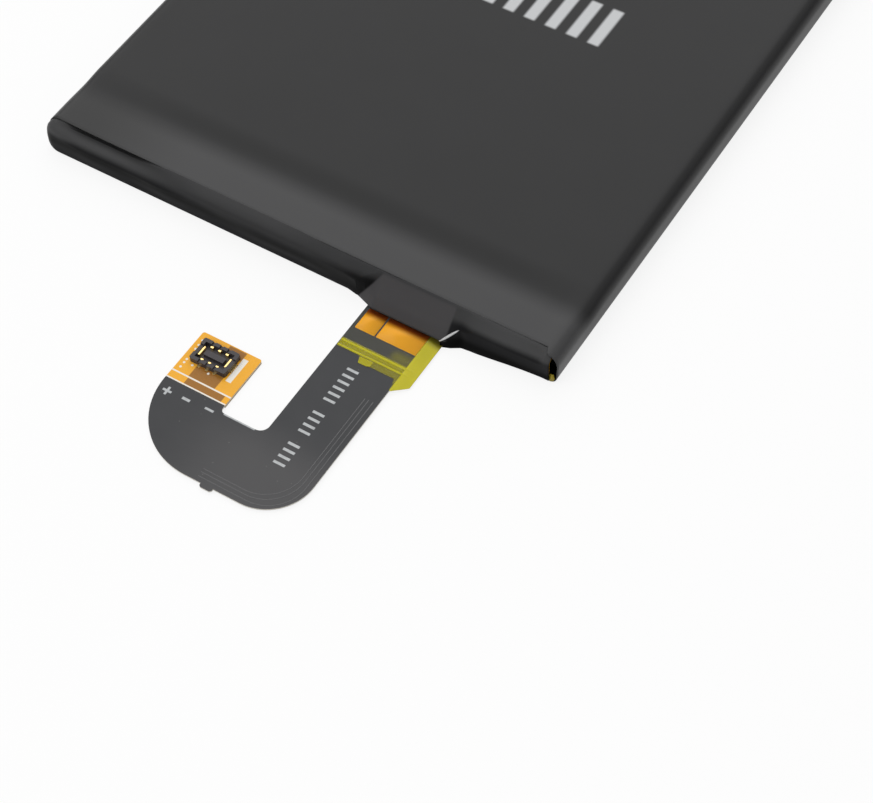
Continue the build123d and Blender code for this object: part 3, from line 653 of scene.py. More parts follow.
def arc(centre: Span, radius: float, start: float, end: float, steps: int) -> list[Span]:
    """Points of an arc, both ends included, with angles in degrees."""
    angles = [math.radians(start + (end - start) * step / steps) for step in range(steps + 1)]
    return [(centre[0] + radius * math.cos(a), centre[1] + radius * math.sin(a)) for a in angles]


def place(made: bpy.types.Object, slot: Slot, *nodes: str) -> bpy.types.Object:
    """Fix a finished piece to the pack's body and hide the solids that it stands for.

    Args:
        made: The finished piece.
        slot: Material slot of the record; not used.
        nodes: Solids that the piece stands for.

    Returns:
        The same piece.
    """
    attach(made, BODY)
    if nodes:
        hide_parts(*nodes)
    log.info("%s: %d faces", made.name, len(made.data.polygons))
    return made


def put_film(
    piece: Piece, material: Material, thickness_mm: float, slot: Slot, *nodes: str
) -> bpy.types.Object:
    """Make a film of an open piece and put it in its place.

    Args:
        piece: The modelled face of the film.
        material: Finish of the film.
        thickness_mm: Thickness, inwards from the modelled face.
        slot: Material slot of the record, passed on to place.
        nodes: Solids that the film stands for.

    Returns:
        The film.
    """
    made = piece.make(material)
    wall = made.modifiers.new("wall", "SOLIDIFY")
    wall.thickness = thickness_mm * MM
    wall.offset = -1
    wall.use_rim = True
    return place(made, slot, *nodes)


@dataclass
class Sleeve:
    """Black film sleeve: flat faces, rounded sides, far end and the soft crease of the header."""

    # Roundings of the far end
    far_top_radius: float = 1.3
    far_bottom_radius: float = 0.8
    # Front edge at the open right corner
    mouth_x: Span = (29.35, 29.85)
    mouth_y: Span = (-45.5, -45.25)
    mouth_z: Span = (0.6, 3.4)
    mouth_reach: float = 3.5
    # Sunken header with its crown, and the crease behind it
    middle_rise: Span = (-31.0, -23.0)
    middle_fall: Span = (31.0, 27.5)
    header_drop: float = 0.3
    header_side_share: float = 0.45
    header_crown: float = 0.05
    crown_y: float = -41.8
    crown_reach: float = 3.4
    crease_y: Span = (-36.0, -39.0)
    valley_depth: float = 0.04
    valley_y: float = -38.8
    valley_reach: float = 1.4
    # Slow waves of the face
    wave_depth: float = 0.05
    wave_length: float = 15.0
    wave_end: float = 6.0
    # Film and the steps of its mesh
    film: float = 0.06
    spacing: float = 0.6
    front_spacing: float = 0.35
    front_count: int = 26
    far_spacing: float = 1.0
    turn_step: int = 10
    arc_steps: int = 8
    wall_steps: int = 3

    def __post_init__(self) -> None:
        """Read the sleeve's size from its solid."""
        self.high = node_box("label_wrap")[1]
        self.count = round(2 * self.high.x / self.spacing)

    def top(self, x: float, y: float) -> float:
        """Height of the upper film."""
        middle = plateau(self.middle_rise, self.middle_fall, x)
        share = self.header_side_share + (1 - self.header_side_share) * middle
        drop = self.header_drop * share * smooth(*self.crease_y, y)
        crown = self.header_crown * hump(self.crown_y, self.crown_reach, y)
        valley = self.valley_depth * middle * hump(self.valley_y, self.valley_reach, y)
        place_in_wave = Vector((x / self.wave_length, y / self.wave_length, 0.0))
        wave = self.wave_depth * (0.5 + 0.5 * noise.noise(place_in_wave))
        wave *= smooth(self.high.y, self.high.y - self.wave_end, y)
        return self.high.z - drop + crown - valley - wave

    def section(self, y: float, corner: float) -> list[Vector]:
        """Closed ring of the sleeve at one station.

        Args:
            y: Station along the pack.
            corner: Angle in degrees round the far end, 0 before it and 90 at the end face.

        Returns:
            Points in the order top, right side, bottom, left side.
        """
        turn = math.radians(corner)
        half = self.high.x - rounding(CORNER_RADIUS, turn)
        lift = rounding(self.far_bottom_radius, turn)
        sink = rounding(self.far_top_radius, turn)
        radii = side_radii(self.high.z - sink - lift)
        flat, base = (half - radius for radius in radii)
        shares = [2 * index / self.count - 1 for index in range(self.count + 1)]
        ring = [Vector((flat * share, y, self.top(flat * share, y) - sink)) for share in shares]
        left_top, right_top = ring[0].z, ring[-1].z
        ring += [Vector((x, y, z)) for x, z in self.side_points(half, right_top, lift, radii)]
        ring += [Vector((-base * share, y, lift)) for share in shares]
        ring += [Vector((-x, y, z)) for x, z in reversed(self.side_points(half, left_top, lift, radii))]
        return ring

    def side_points(self, half: float, top: float, lift: float, radii: Span) -> list[Span]:
        """Points down one side between the upper and the lower film, their own points left out."""
        upper = arc((half - radii[0], top - radii[0]), radii[0], QUARTER_TURN, 0, self.arc_steps)
        lower = arc((half - radii[1], lift + radii[1]), radii[1], 0, -QUARTER_TURN, self.arc_steps)
        (x, z), (end_x, end_z) = upper[-1], lower[0]
        wall = [
            (x + (end_x - x) * step / self.wall_steps, z + (end_z - z) * step / self.wall_steps)
            for step in range(1, self.wall_steps)
        ]
        return upper[1:] + wall + lower[:-1]

    def stations(self) -> list[Span]:
        """Places along the pack with their angle round the far end."""
        straight_end = self.high.y - CORNER_RADIUS
        front = [LAP_Y + self.front_spacing * step for step in range(self.front_count)]
        length = straight_end - front[-1]
        count = round(length / self.far_spacing)
        far = [front[-1] + length * step / count for step in range(1, count + 1)]
        turned = [
            (straight_end + CORNER_RADIUS * math.sin(math.radians(angle)), angle)
            for angle in range(self.turn_step, QUARTER_TURN + 1, self.turn_step)
        ]
        return [(y, 0.0) for y in front + far] + turned

    def front_shift(self, point: Vector) -> float:
        """How far the front edge reaches ahead of the lap line at the right corner."""
        low, high = self.mouth_y
        reach = low + (high - low) * smooth(*self.mouth_z, point.z)
        return (reach - LAP_Y) * smooth(*self.mouth_x, point.x)

    def build(self, material: Material) -> bpy.types.Object:
        """Make the sleeve and let it stand for its solid.

        Args:
            material: Film finish.

        Returns:
            The sleeve.
        """
        piece = Piece("film_sleeve")
        rings = []
        for y, corner in self.stations():
            ring = self.section(y, corner)
            reach = smooth(LAP_Y + self.mouth_reach, LAP_Y, y)
            for point in ring:
                point.y += self.front_shift(point) * reach
            rings.append(piece.row(ring))
        for first, second in zip(rings, rings[1:]):
            piece.bridge(first, second, closed=True)
        self.close_end(piece, rings[-1])
        return put_film(piece, material, self.film, Slot.FILM, "label_wrap")

    def close_end(self, piece: Piece, ring: Sequence[int]) -> None:
        """Close the flat far end between the upper and the lower edge."""
        count = self.count + 1
        side = 2 * self.arc_steps + self.wall_steps - 1
        upper = ring[:count]
        lower = ring[count + side:2 * count + side]
        piece.bridge(upper, lower[::-1])
        piece.faces.append([upper[-1], *ring[count:count + side], lower[0]])
        piece.faces.append([lower[-1], *ring[2 * count + side:], upper[0]])


@dataclass
class HeaderTape:
    """Closing tape of the header: roll, pressed slit, uneven front wall and the tongue over the flex."""

    # Film, its ends and the steps of its mesh
    front_y: float = -46.0
    side_flat: float = 29.4
    right_end: float = 30.2
    free_left: float = -25.0
    film: float = 0.08
    side_steps: int = 14
    tolerance: float = 0.01
    # Roll, lap line and pressed slit
    roll_radius: float = 1.2
    roll_step: int = 5
    bottom_radius: float = 0.4
    flat_steps: tuple[float, ...] = (0.7, 0.35, 0.2, 0.1, 0.03, -0.05, -0.1, -0.16, -0.22)
    lap_step: float = 0.06
    lap_edge: Span = (-0.2, -0.05)
    lap_shift: float = 0.22
    lap_shown: Span = (0.5, 5.0)
    lap_faint: float = 0.7
    lap_faint_rise: Span = (12.5, 14.5)
    lap_faint_fall: Span = (24.0, 22.0)
    slit_depth: float = 0.42
    slit_rise: Span = (-28.9, -26.4)
    slit_fall: Span = (-15.0, -21.5)
    slit_y: Span = (-45.17, -44.66)
    # Bevels along the roll, each with its rise and its fall across the pack
    bevels: tuple[tuple[Span, Span], ...] = (((-29.0, -26.0), (-9.0, -17.0)), ((6.5, 9.0), (29.7, 29.0)))
    bevel_start: float = 0.3
    bevel_knee: Span = (-45.93, 2.72)
    bevel_foot: Span = (-46.0, 2.15)
    knee_share: float = 0.75
    bend_share: float = 0.5
    bend_origin: float = 0.667
    # Tongue with its flaps, and the foot of the wall beside it
    lip_x: Span = (11.0, 18.95)
    lip_y: float = -47.28
    lip_z: float = 0.9
    head_start: float = 0.18
    sheet_pace: float = 0.85
    sag: float = 0.1
    fold_width: float = 0.22
    flap_x: Span = (8.4, 21.9)
    left_flap_end: Point = (8.45, -46.0, 0.06)
    right_ridge_end: Point = (20.4, -46.0, 2.07)
    foot_line: tuple[Span, ...] = (
        (18.9, 1.4),
        (19.9, 1.02),
        (20.8, 0.47),
        (21.8, 0.36),
        (23.5, 0.27),
        (25.0, 0.22),
        (27.2, 0.08),
        (29.5, 0.0),
    )
    settled_share: float = 0.9
    settled_rise: Span = (7.2, 8.4)
    settled_fall: Span = (11.2, 10.6)
    settled_right: Span = (26.0, 22.0)
    hollow: float = 0.15
    hollow_reach: float = 1.2
    # Uneven front: each dent has its length, height, seed and share
    loose_rise: Span = (LAP_Y, -45.7)
    loose_fall: Span = (-46.6, -46.02)
    set_back: float = 0.22
    set_back_x: Span = (24.0, 30.2)
    dent_depth: float = 0.14
    dent_z: Span = (0.1, 1.0)
    dents: tuple[tuple[float, float, float, float], ...] = ((5.5, 1.6, 3.1, 0.42), (1.9, 0.9, 7.7, 0.08))
    # Right end, and the tuck under the sleeve
    end_step: float = 0.05
    end_step_reach: float = 0.3
    tuck: float = 0.08
    tuck_x: Span = (-29.0, -31.0)
    tuck_y: Span = (-44.43, -44.33)
    tuck_z: Span = (1.5, 0.0)
    # Pale bead on the ridge right of the tongue, a painted highlight
    glint_start: float = 0.1
    glint_shift: Point = (0.0, -0.01, 0.02)
    glint_radius: float = 0.27
    glint_tip: float = 0.012
    glint_fullness: float = 0.7
    glint_flatness: float = 0.6
    glint_steps: int = 16
    glint_corners: int = 8

    def __post_init__(self) -> None:
        """Read the tape's size from its solid and set its columns."""
        self.low, self.high = node_box("header_tape")
        # Each run of columns gives its left end, its right end and how many there are
        runs = (
            (self.low.x, self.free_left, 15),
            (self.free_left, self.flap_x[0] - self.fold_width, 75),
            (self.flap_x[0] - self.fold_width, self.flap_x[0], 6),
            (self.flap_x[0], self.lip_x[0], 18),
            (self.lip_x[0], self.lip_x[1], 22),
            (self.lip_x[1], self.flap_x[1], 26),
            (self.flap_x[1], self.side_flat, 18),
            (self.side_flat, self.right_end, 6),
        )
        self.columns = [
            left + (right - left) * step / steps
            for left, right, steps in runs
            for step in range(steps)
        ]
        self.columns.append(self.right_end)
        self.count = len(self.columns) - 1

    def across(self, left: float) -> list[float]:
        """Places of the columns where the rounded corner begins at the given place."""
        free = self.free_left
        share = (free - left) / (free - self.low.x)
        return [x if x > free else free - (free - x) * share for x in self.columns]

    def lap_strength(self, x: float) -> float:
        """How plainly the lap line shows."""
        faint = self.lap_faint * plateau(self.lap_faint_rise, self.lap_faint_fall, x)
        return smooth(*self.lap_shown, x) - faint

    def top(self, x: float, y: float) -> float:
        """Height of the tape behind the roll, with the step at the lap and the pressed slit."""
        edge = LAP_Y + self.lap_shift * (1 - self.lap_strength(x))
        lap = self.lap_step * smooth(edge + self.lap_edge[0], edge + self.lap_edge[1], y)
        slit = self.slit_depth * plateau(self.slit_rise, self.slit_fall, x) * smooth(*self.slit_y, y)
        return self.high.z - lap - slit

    def bevelled(self, x: float) -> float:
        """How far the roll is flattened to a bevel at a place across the pack."""
        return max(plateau(rise, fall, x) for rise, fall in self.bevels)

    def tongue_share(self, x: float, share: float) -> float:
        """How far the sheet is drawn out to the tongue, inside a fold that runs outwards as it comes down."""
        fold = self.lip_x[0] + (self.flap_x[0] - self.lip_x[0]) * share
        left = smooth(fold - self.fold_width, fold, x)
        return left * smooth(self.flap_x[1], self.right_ridge_end[0], x)

    def sheet_end(self, x: float) -> Vector:
        """Lower edge of the drawn-out sheet: left flap, lip and the ridge on the right."""
        lip = Vector((x, self.lip_y, self.lip_z))
        if x < self.lip_x[0]:
            outer = self.left_flap_end
            share = (self.lip_x[0] - x) / (self.lip_x[0] - outer[0])
        else:
            outer = self.right_ridge_end
            share = (x - self.lip_x[1]) / (outer[0] - self.lip_x[1])
        return lip.lerp(Vector((x, outer[1], outer[2])), min(max(share, 0.0), 1.0))

    def beside_tongue(self, x: float) -> bool:
        """Whether a place lies on the right of the tongue."""
        return x > self.lip_x[1] - self.tolerance

    def foot_forward(self, x: float) -> float:
        """How far the foot of the wall comes forward beside the tongue."""
        if self.beside_tongue(x):
            for (start, near), (end, far) in zip(self.foot_line, self.foot_line[1:]):
                if x <= end:
                    return near + (far - near) * (x - start) / (end - start)
        return 0.0

    def settled(self, x: float) -> float:
        """How far the bottom edge lies flat on the floor beside the tongue."""
        left = plateau(self.settled_rise, self.settled_fall, x)
        right = smooth(*self.settled_right, x) if self.beside_tongue(x) else 0.0
        return max(left, right)

    def roll_point(self, x: float, share: float, plain: Vector) -> Vector:
        """Point of the roll, between its round, its bevelled and its drawn-out form.

        Args:
            x: Place across the pack.
            share: 0 at the lap and 1 where the front wall begins.
            plain: The point of the round form.

        Returns:
            The point, in millimetres.
        """
        start = Vector((x, LAP_Y - self.bevel_start, self.high.z))
        foot = Vector((x, *self.bevel_foot))
        knee = Vector((x, *self.bevel_knee))
        bend = max(share - self.bend_share, 0.0) / (1 - self.bend_share)
        if bend == 0:
            bevel = start.lerp(knee, min(share / self.knee_share, 1.0))
        else:
            bevel = start.lerp(knee, self.bend_origin).lerp(knee, bend).lerp(knee.lerp(foot, bend), bend)
        point = plain.lerp(bevel, self.bevelled(x))
        head = Vector((x, LAP_Y - self.head_start, self.high.z))
        sheet = head.lerp(self.sheet_end(x), share ** self.sheet_pace)
        sheet.z += self.sag * math.sin(math.pi * share)
        return point.lerp(sheet, self.tongue_share(x, share))

    def profile(self) -> list[Span]:
        """Stations of the roll: places along Y with their angle in degrees."""
        roll_y = self.front_y + self.roll_radius
        stations = [(LAP_Y + step, 0.0) for step in self.flat_steps]
        return stations + [
            (roll_y - self.roll_radius * math.sin(math.radians(angle)), float(angle))
            for angle in range(self.roll_step, QUARTER_TURN + 1, self.roll_step)
        ]

    def section(self, y: float, angle: float) -> list[Vector]:
        """Open row of the tape from its right end along the bottom, up the left side and back."""
        turn = math.radians(angle)
        sink = rounding(self.roll_radius, turn)
        lift = rounding(self.bottom_radius, turn)
        left = self.low.x + rounding(CORNER_RADIUS, turn)
        top_radius, bottom_radius = side_radii(self.high.z - sink - lift)
        base_left = left + bottom_radius
        ahead = math.sin(turn) ** 2
        bottom = [
            Vector((x, y - self.foot_forward(x) * ahead, lift * (1 - self.settled_share * self.settled(x))))
            for x in reversed(self.across(base_left))
        ]
        upper = [Vector((x, y, self.top(x, y) - sink)) for x in self.across(left + top_radius)]
        half = self.side_steps // 2
        low_arc = arc((base_left, lift + bottom_radius), bottom_radius, 270, 180, half - 1)
        high_arc = arc((left + top_radius, upper[0].z - top_radius), top_radius, 180, 90, half - 1)
        side = [Vector((x, y, z)) for x, z in low_arc[1:] + high_arc[:-1]]
        if angle > 0:
            upper = [self.roll_point(point.x, angle / QUARTER_TURN, point) for point in upper]
        return bottom + side + upper

    def soften(self, point: Vector) -> Vector:
        """Set back the right end and let the front wall and the roll wander a little."""
        loose = plateau(self.loose_rise, self.loose_fall, point.y)
        back = self.set_back * smooth(*self.set_back_x, point.x) * loose
        waves = (
            share * noise.noise(Vector((point.x / length, point.z / height, seed)))
            for length, height, seed, share in self.dents
        )
        dent = self.dent_depth * sum(waves, start=0.5) * loose * smooth(*self.dent_z, point.z)
        beyond = max(0.0, point.x - self.side_flat)
        step = self.end_step * smooth(0.0, self.end_step_reach, beyond)
        sink = SIDE_TOP_RADIUS - math.sqrt(SIDE_TOP_RADIUS ** 2 - beyond ** 2) + step
        tuck = self.tuck * smooth(*self.tuck_y, point.y)
        inward = tuck * smooth(*self.tuck_x, point.x)
        lift = tuck * smooth(*self.tuck_z, point.z) - sink * point.z / self.high.z
        return Vector((point.x + inward, point.y + back + dent, point.z + lift))

    def wall(self, piece: Piece, ring: Sequence[int]) -> None:
        """Fill the front wall between the bottom edge and the roll, with the opening for the flex."""
        bottom = list(ring[:self.count + 1])[::-1]
        side = list(ring[self.count + 1:-(self.count + 1)])
        upper = list(ring[-(self.count + 1):])
        rows = [bottom]
        for index, number in enumerate(side):
            share = (index + 1) / (len(side) + 1)
            pairs = zip(bottom[1:], upper[1:])
            inner = [self.wall_point(piece.points[low], piece.points[high], share) for low, high in pairs]
            rows.append([number] + piece.row(inner))
        rows.append(upper)
        for first, second in zip(rows, rows[1:]):
            piece.bridge(first, second, keep=lambda index: not self.open_column(piece.points[upper[index]].x))

    def wall_point(self, low: Vector, high: Vector, share: float) -> Vector:
        """Point of the wall, which hollows a little beside the tongue."""
        point = low.lerp(high, share)
        hollow = self.hollow * hump(self.right_ridge_end[0], self.hollow_reach, high.x)
        point.y += hollow * math.sin(math.pi * share)
        return point

    def open_column(self, x: float) -> bool:
        """Whether the flex comes out below this column."""
        return x > self.lip_x[0] - self.tolerance and not self.beside_tongue(x)

    def build(self, material: Material) -> bpy.types.Object:
        """Make the tape and let it stand for its solid.

        Args:
            material: Tape finish.

        Returns:
            The tape.
        """
        piece = Piece("header_closing_tape")
        rows = [piece.row(self.section(y, angle)) for y, angle in self.profile()]
        for first, second in zip(rows, rows[1:]):
            piece.bridge(first, second)
        self.wall(piece, rows[-1])
        piece.points = [self.soften(point) for point in piece.points]
        return put_film(piece, material, self.film, Slot.TAPE, "header_tape")

    def glint_bead(self, material: Material) -> bpy.types.Object:
        """Make the pale bead on the ridge right of the tongue, a painted highlight along the fold."""
        piece = Piece("painted_glint_ridge")
        start = self.lip_x[1] - self.glint_start
        turns = [math.radians(360 / self.glint_corners * corner) for corner in range(self.glint_corners)]
        previous: list[int] = []
        for step in range(self.glint_steps + 1):
            share = step / self.glint_steps
            x = start + (self.right_ridge_end[0] - start) * share
            centre = self.sheet_end(x) + Vector(self.glint_shift)
            radius = self.glint_tip + self.glint_radius * math.sin(math.pi * share) ** self.glint_fullness
            ring = piece.row(
                centre + Vector((0.0, radius * math.cos(turn), self.glint_flatness * radius * math.sin(turn)))
                for turn in turns
            )
            if previous:
                piece.bridge(previous, ring, closed=True)
            else:
                piece.faces.append(ring)
            previous = ring
        piece.faces.append(previous)
        return place(piece.make(material), Slot.TAPE)


@dataclass
class RootTape:
    """Clear yellow tape across the root of the flex, with two raised creases and a drooping overhang."""

    corner_cut: float = 1.35
    left_end_y: float = -52.55
    middle_end_y: float = -53.15
    tab_rise: Span = (13.0, 13.3)
    tab_fall: Span = (14.5, 14.2)
    tab_reach: float = 0.12
    step_x: float = 17.7
    step_rise: Span = (17.35, 17.75)
    crease_lines: tuple[float, ...] = (-51.62, -52.32)
    crease_slope: float = 0.012
    crease_height: float = 0.035
    crease_width: float = 0.2
    droop: float = 0.2
    droop_from: float = 17.8
    ripple: float = 0.006
    ripple_size: Span = (0.9, 1.6)
    ripple_seed: float = 0.4
    film: float = 0.022
    spacing: float = 0.06

    def __post_init__(self) -> None:
        """Read the tape's size from its solid."""
        self.low, self.high = node_box("flex_root_tape")

    def lower_edge(self, x: float) -> float:
        """Front edge of the tape at a place across it."""
        past = smooth(*self.tab_rise, x)
        tab = self.tab_reach * plateau(self.tab_rise, self.tab_fall, x)
        narrow = self.left_end_y + (self.middle_end_y - self.left_end_y) * past - tab
        overhang = self.low.y + max(0.0, x - (self.high.x - self.corner_cut))
        return narrow + (overhang - narrow) * smooth(*self.step_rise, x)

    def level(self, x: float, y: float) -> float:
        """Height of the tape, with its creases and its droop."""
        lean = self.crease_slope * (x - self.low.x)
        rise = sum(self.crease_height * hump(line + lean, self.crease_width, y) for line in self.crease_lines)
        fall = self.droop * smooth(self.droop_from, self.high.x, x)
        across, along = self.ripple_size
        ripple = self.ripple * noise.noise(Vector((x / across, y / along, self.ripple_seed)))
        return self.high.z + rise * smooth(self.high.x, self.step_x, x) - fall + ripple

    def build(self, material: Material) -> bpy.types.Object:
        """Make the tape and let it stand for its solid."""
        piece = Piece("clear_root_tape")
        size = self.high - self.low
        columns, rows = (round(length / self.spacing) for length in (size.x, size.y))
        previous: list[int] = []
        for column in range(columns + 1):
            x = self.low.x + (self.high.x - self.low.x) * column / columns
            start = self.lower_edge(x)
            ys = [start + (self.high.y - start) * row / rows for row in range(rows + 1)]
            line = piece.row(Vector((x, y, self.level(x, y))) for y in ys)
            if previous:
                piece.bridge(line, previous)
            previous = line
        return put_film(piece, material, self.film, Slot.YELLOW, "flex_root_tape")


@dataclass
class TapeCorner:
    """Folded corner of the board's insulating tape, glimpsed at the foot of the sleeve's mouth."""

    outline: tuple[Span, ...] = (
        (30.1, 0.12), (30.42, 0.12), (30.66, 0.3), (30.78, 0.6), (30.62, 1.15), (30.1, 1.0)
    )
    front_y: float = -45.58
    lean: float = 0.12
    film: float = 0.05

    def build(self, material: Material) -> bpy.types.Object:
        """Make the corner."""
        piece = Piece("board_tape_corner")
        corner = piece.row(Vector((x, self.front_y + self.lean * z, z)) for x, z in self.outline)
        piece.faces.append(corner)
        return put_film(piece, material, self.film, Slot.YELLOW)


@dataclass
class WindowFilms:
    """Amber films over the bare copper in the two windows at the root of the flex."""

    windows: tuple[Span, ...] = ((10.6, 12.86), (13.05, 18.08))
    y_range: Span = (-49.75, -47.0)
    corner: float = 0.12
    level: float = 0.386
    film: float = 0.004
    arc_steps: int = 5

    def outline(self, left: float, right: float) -> list[Vector]:
        """Rounded outline of one window, anticlockwise from above."""
        low, high = self.y_range
        corners = ((right, low, 270), (right, high, 0), (left, high, 90), (left, low, 180))
        points = []
        for x, y, start in corners:
            centre_x = x - self.corner if x == right else x + self.corner
            centre_y = y + self.corner if y == low else y - self.corner
            points += arc((centre_x, centre_y), self.corner, start, start + QUARTER_TURN, self.arc_steps)
        return [Vector((x, y, self.level)) for x, y in points]

    def build(self, material: Material) -> bpy.types.Object:
        """Make both films as one piece."""
        piece = Piece("root_window_films")
        for left, right in self.windows:
            piece.faces.append(piece.row(self.outline(left, right)))
        return put_film(piece, material, self.film, Slot.AMBER)


@dataclass
class ContourRibs:
    """Faint raised lines that follow the outer bend of the flex, over the edges of its conductors."""

    offsets: tuple[float, ...] = (0.55, 1.05, 1.45)
    leg_right: float = 17.7
    base_y: float = -72.5
    root_y: float = -56.5
    bend_radius: float = 4.0
    start_x: float = 7.6
    level: float = 0.38
    width: float = 0.055
    height: float = 0.012
    bend_points: int = 14
    profile_points: int = 6

    def sizes(self) -> dict[str, float]:
        """Sizes that the node tree takes in, in metres, by the names of their sockets."""
        return {"Bend radius": self.bend_radius * MM, "Rib width": self.width * MM}

    def tree(self, material: Material) -> bpy.types.NodeTree:
        """Node tree that rounds each path's corner and sweeps a low rib along it."""
        tree = bpy.data.node_groups.new("contour_ribs", "GeometryNodeTree")
        sockets = tree.interface
        sockets.new_socket("Geometry", in_out="INPUT", socket_type="NodeSocketGeometry")
        for name in self.sizes():
            sockets.new_socket(name, in_out="INPUT", socket_type="NodeSocketFloat")
        sockets.new_socket("Geometry", in_out="OUTPUT", socket_type="NodeSocketGeometry")
        start = tree.nodes.new("NodeGroupInput")
        end = tree.nodes.new("NodeGroupOutput")
        line = tree.nodes.new("GeometryNodeMeshToCurve")
        bend = tree.nodes.new("GeometryNodeFilletCurve")
        bend.mode = "POLY"
        bend.inputs["Count"].default_value = self.bend_points
        profile = tree.nodes.new("GeometryNodeCurvePrimitiveCircle")
        profile.inputs["Resolution"].default_value = self.profile_points
        sweep = tree.nodes.new("GeometryNodeCurveToMesh")
        sweep.inputs["Fill Caps"].default_value = True
        realize = tree.nodes.new("GeometryNodeRealizeInstances")
        dress = tree.nodes.new("GeometryNodeSetMaterial")
        dress.inputs["Material"].default_value = material
        links = (
            (start.outputs["Geometry"], line.inputs["Mesh"]),
            (line.outputs["Curve"], bend.inputs["Curve"]),
            (start.outputs["Bend radius"], bend.inputs["Radius"]),
            (start.outputs["Rib width"], profile.inputs["Radius"]),
            (bend.outputs["Curve"], sweep.inputs["Curve"]),
            (profile.outputs["Curve"], sweep.inputs["Profile Curve"]),
            (sweep.outputs["Mesh"], realize.inputs["Geometry"]),
            (realize.outputs["Geometry"], dress.inputs["Geometry"]),
            (dress.outputs["Geometry"], end.inputs["Geometry"]),
        )
        for source, target in links:
            tree.links.new(source, target)
        return tree

    def build(self, material: Material) -> bpy.types.Object:
        """Sweep the ribs and turn the result into a plain mesh."""
        mesh = bpy.data.meshes.new("flex_contour_ribs")
        points = []
        edges = []
        for offset in self.offsets:
            x = self.leg_right - offset
            y = self.base_y + offset
            start = len(points)
            points += [(x, self.root_y, self.level), (x, y, self.level), (self.start_x, y, self.level)]
            edges += [(start, start + 1), (start + 1, start + 2)]
        mesh.from_pydata([Vector(point) * MM for point in points], edges, [])
        made = bpy.data.objects.new("flex_contour_ribs", mesh)
        bpy.context.scene.collection.objects.link(made)
        modifier = made.modifiers.new("ribs", "NODES")
        modifier.node_group = self.tree(material)
        for item in modifier.node_group.interface.items_tree:
            if item.item_type == "SOCKET" and item.name in self.sizes():
                modifier[item.identifier] = self.sizes()[item.name]
        evaluated = made.evaluated_get(bpy.context.evaluated_depsgraph_get())
        made.data = bpy.data.meshes.new_from_object(evaluated)
        made.modifiers.clear()
        level = self.level * MM
        for vert in made.data.vertices:
            vert.co.z = level + (vert.co.z - level) * self.height / self.width
        return place(made, Slot.COVERLAY)


@dataclass(frozen=True)
class Lamp:
    """Square soft lamp, hung in a direction from the pack."""

    name: str
    direction: Point
    size: float
    distance: float
    watts: float
    aim: Point = (0.0, -0.02, 0.0)

    def hang(self) -> None:
        """Put the lamp in its place."""
        data = bpy.data.lights.new(self.name, "AREA")
        data.shape = "SQUARE"
        data.size = self.size
        data.energy = self.watts
        made = bpy.data.objects.new(self.name, data)
        away = Vector(self.direction).normalized()
        made.location = away * self.distance + Vector(self.aim)
        made.rotation_mode = "QUATERNION"
        made.rotation_quaternion = away.to_track_quat("Z", "Y")
        bpy.context.scene.collection.objects.link(made)


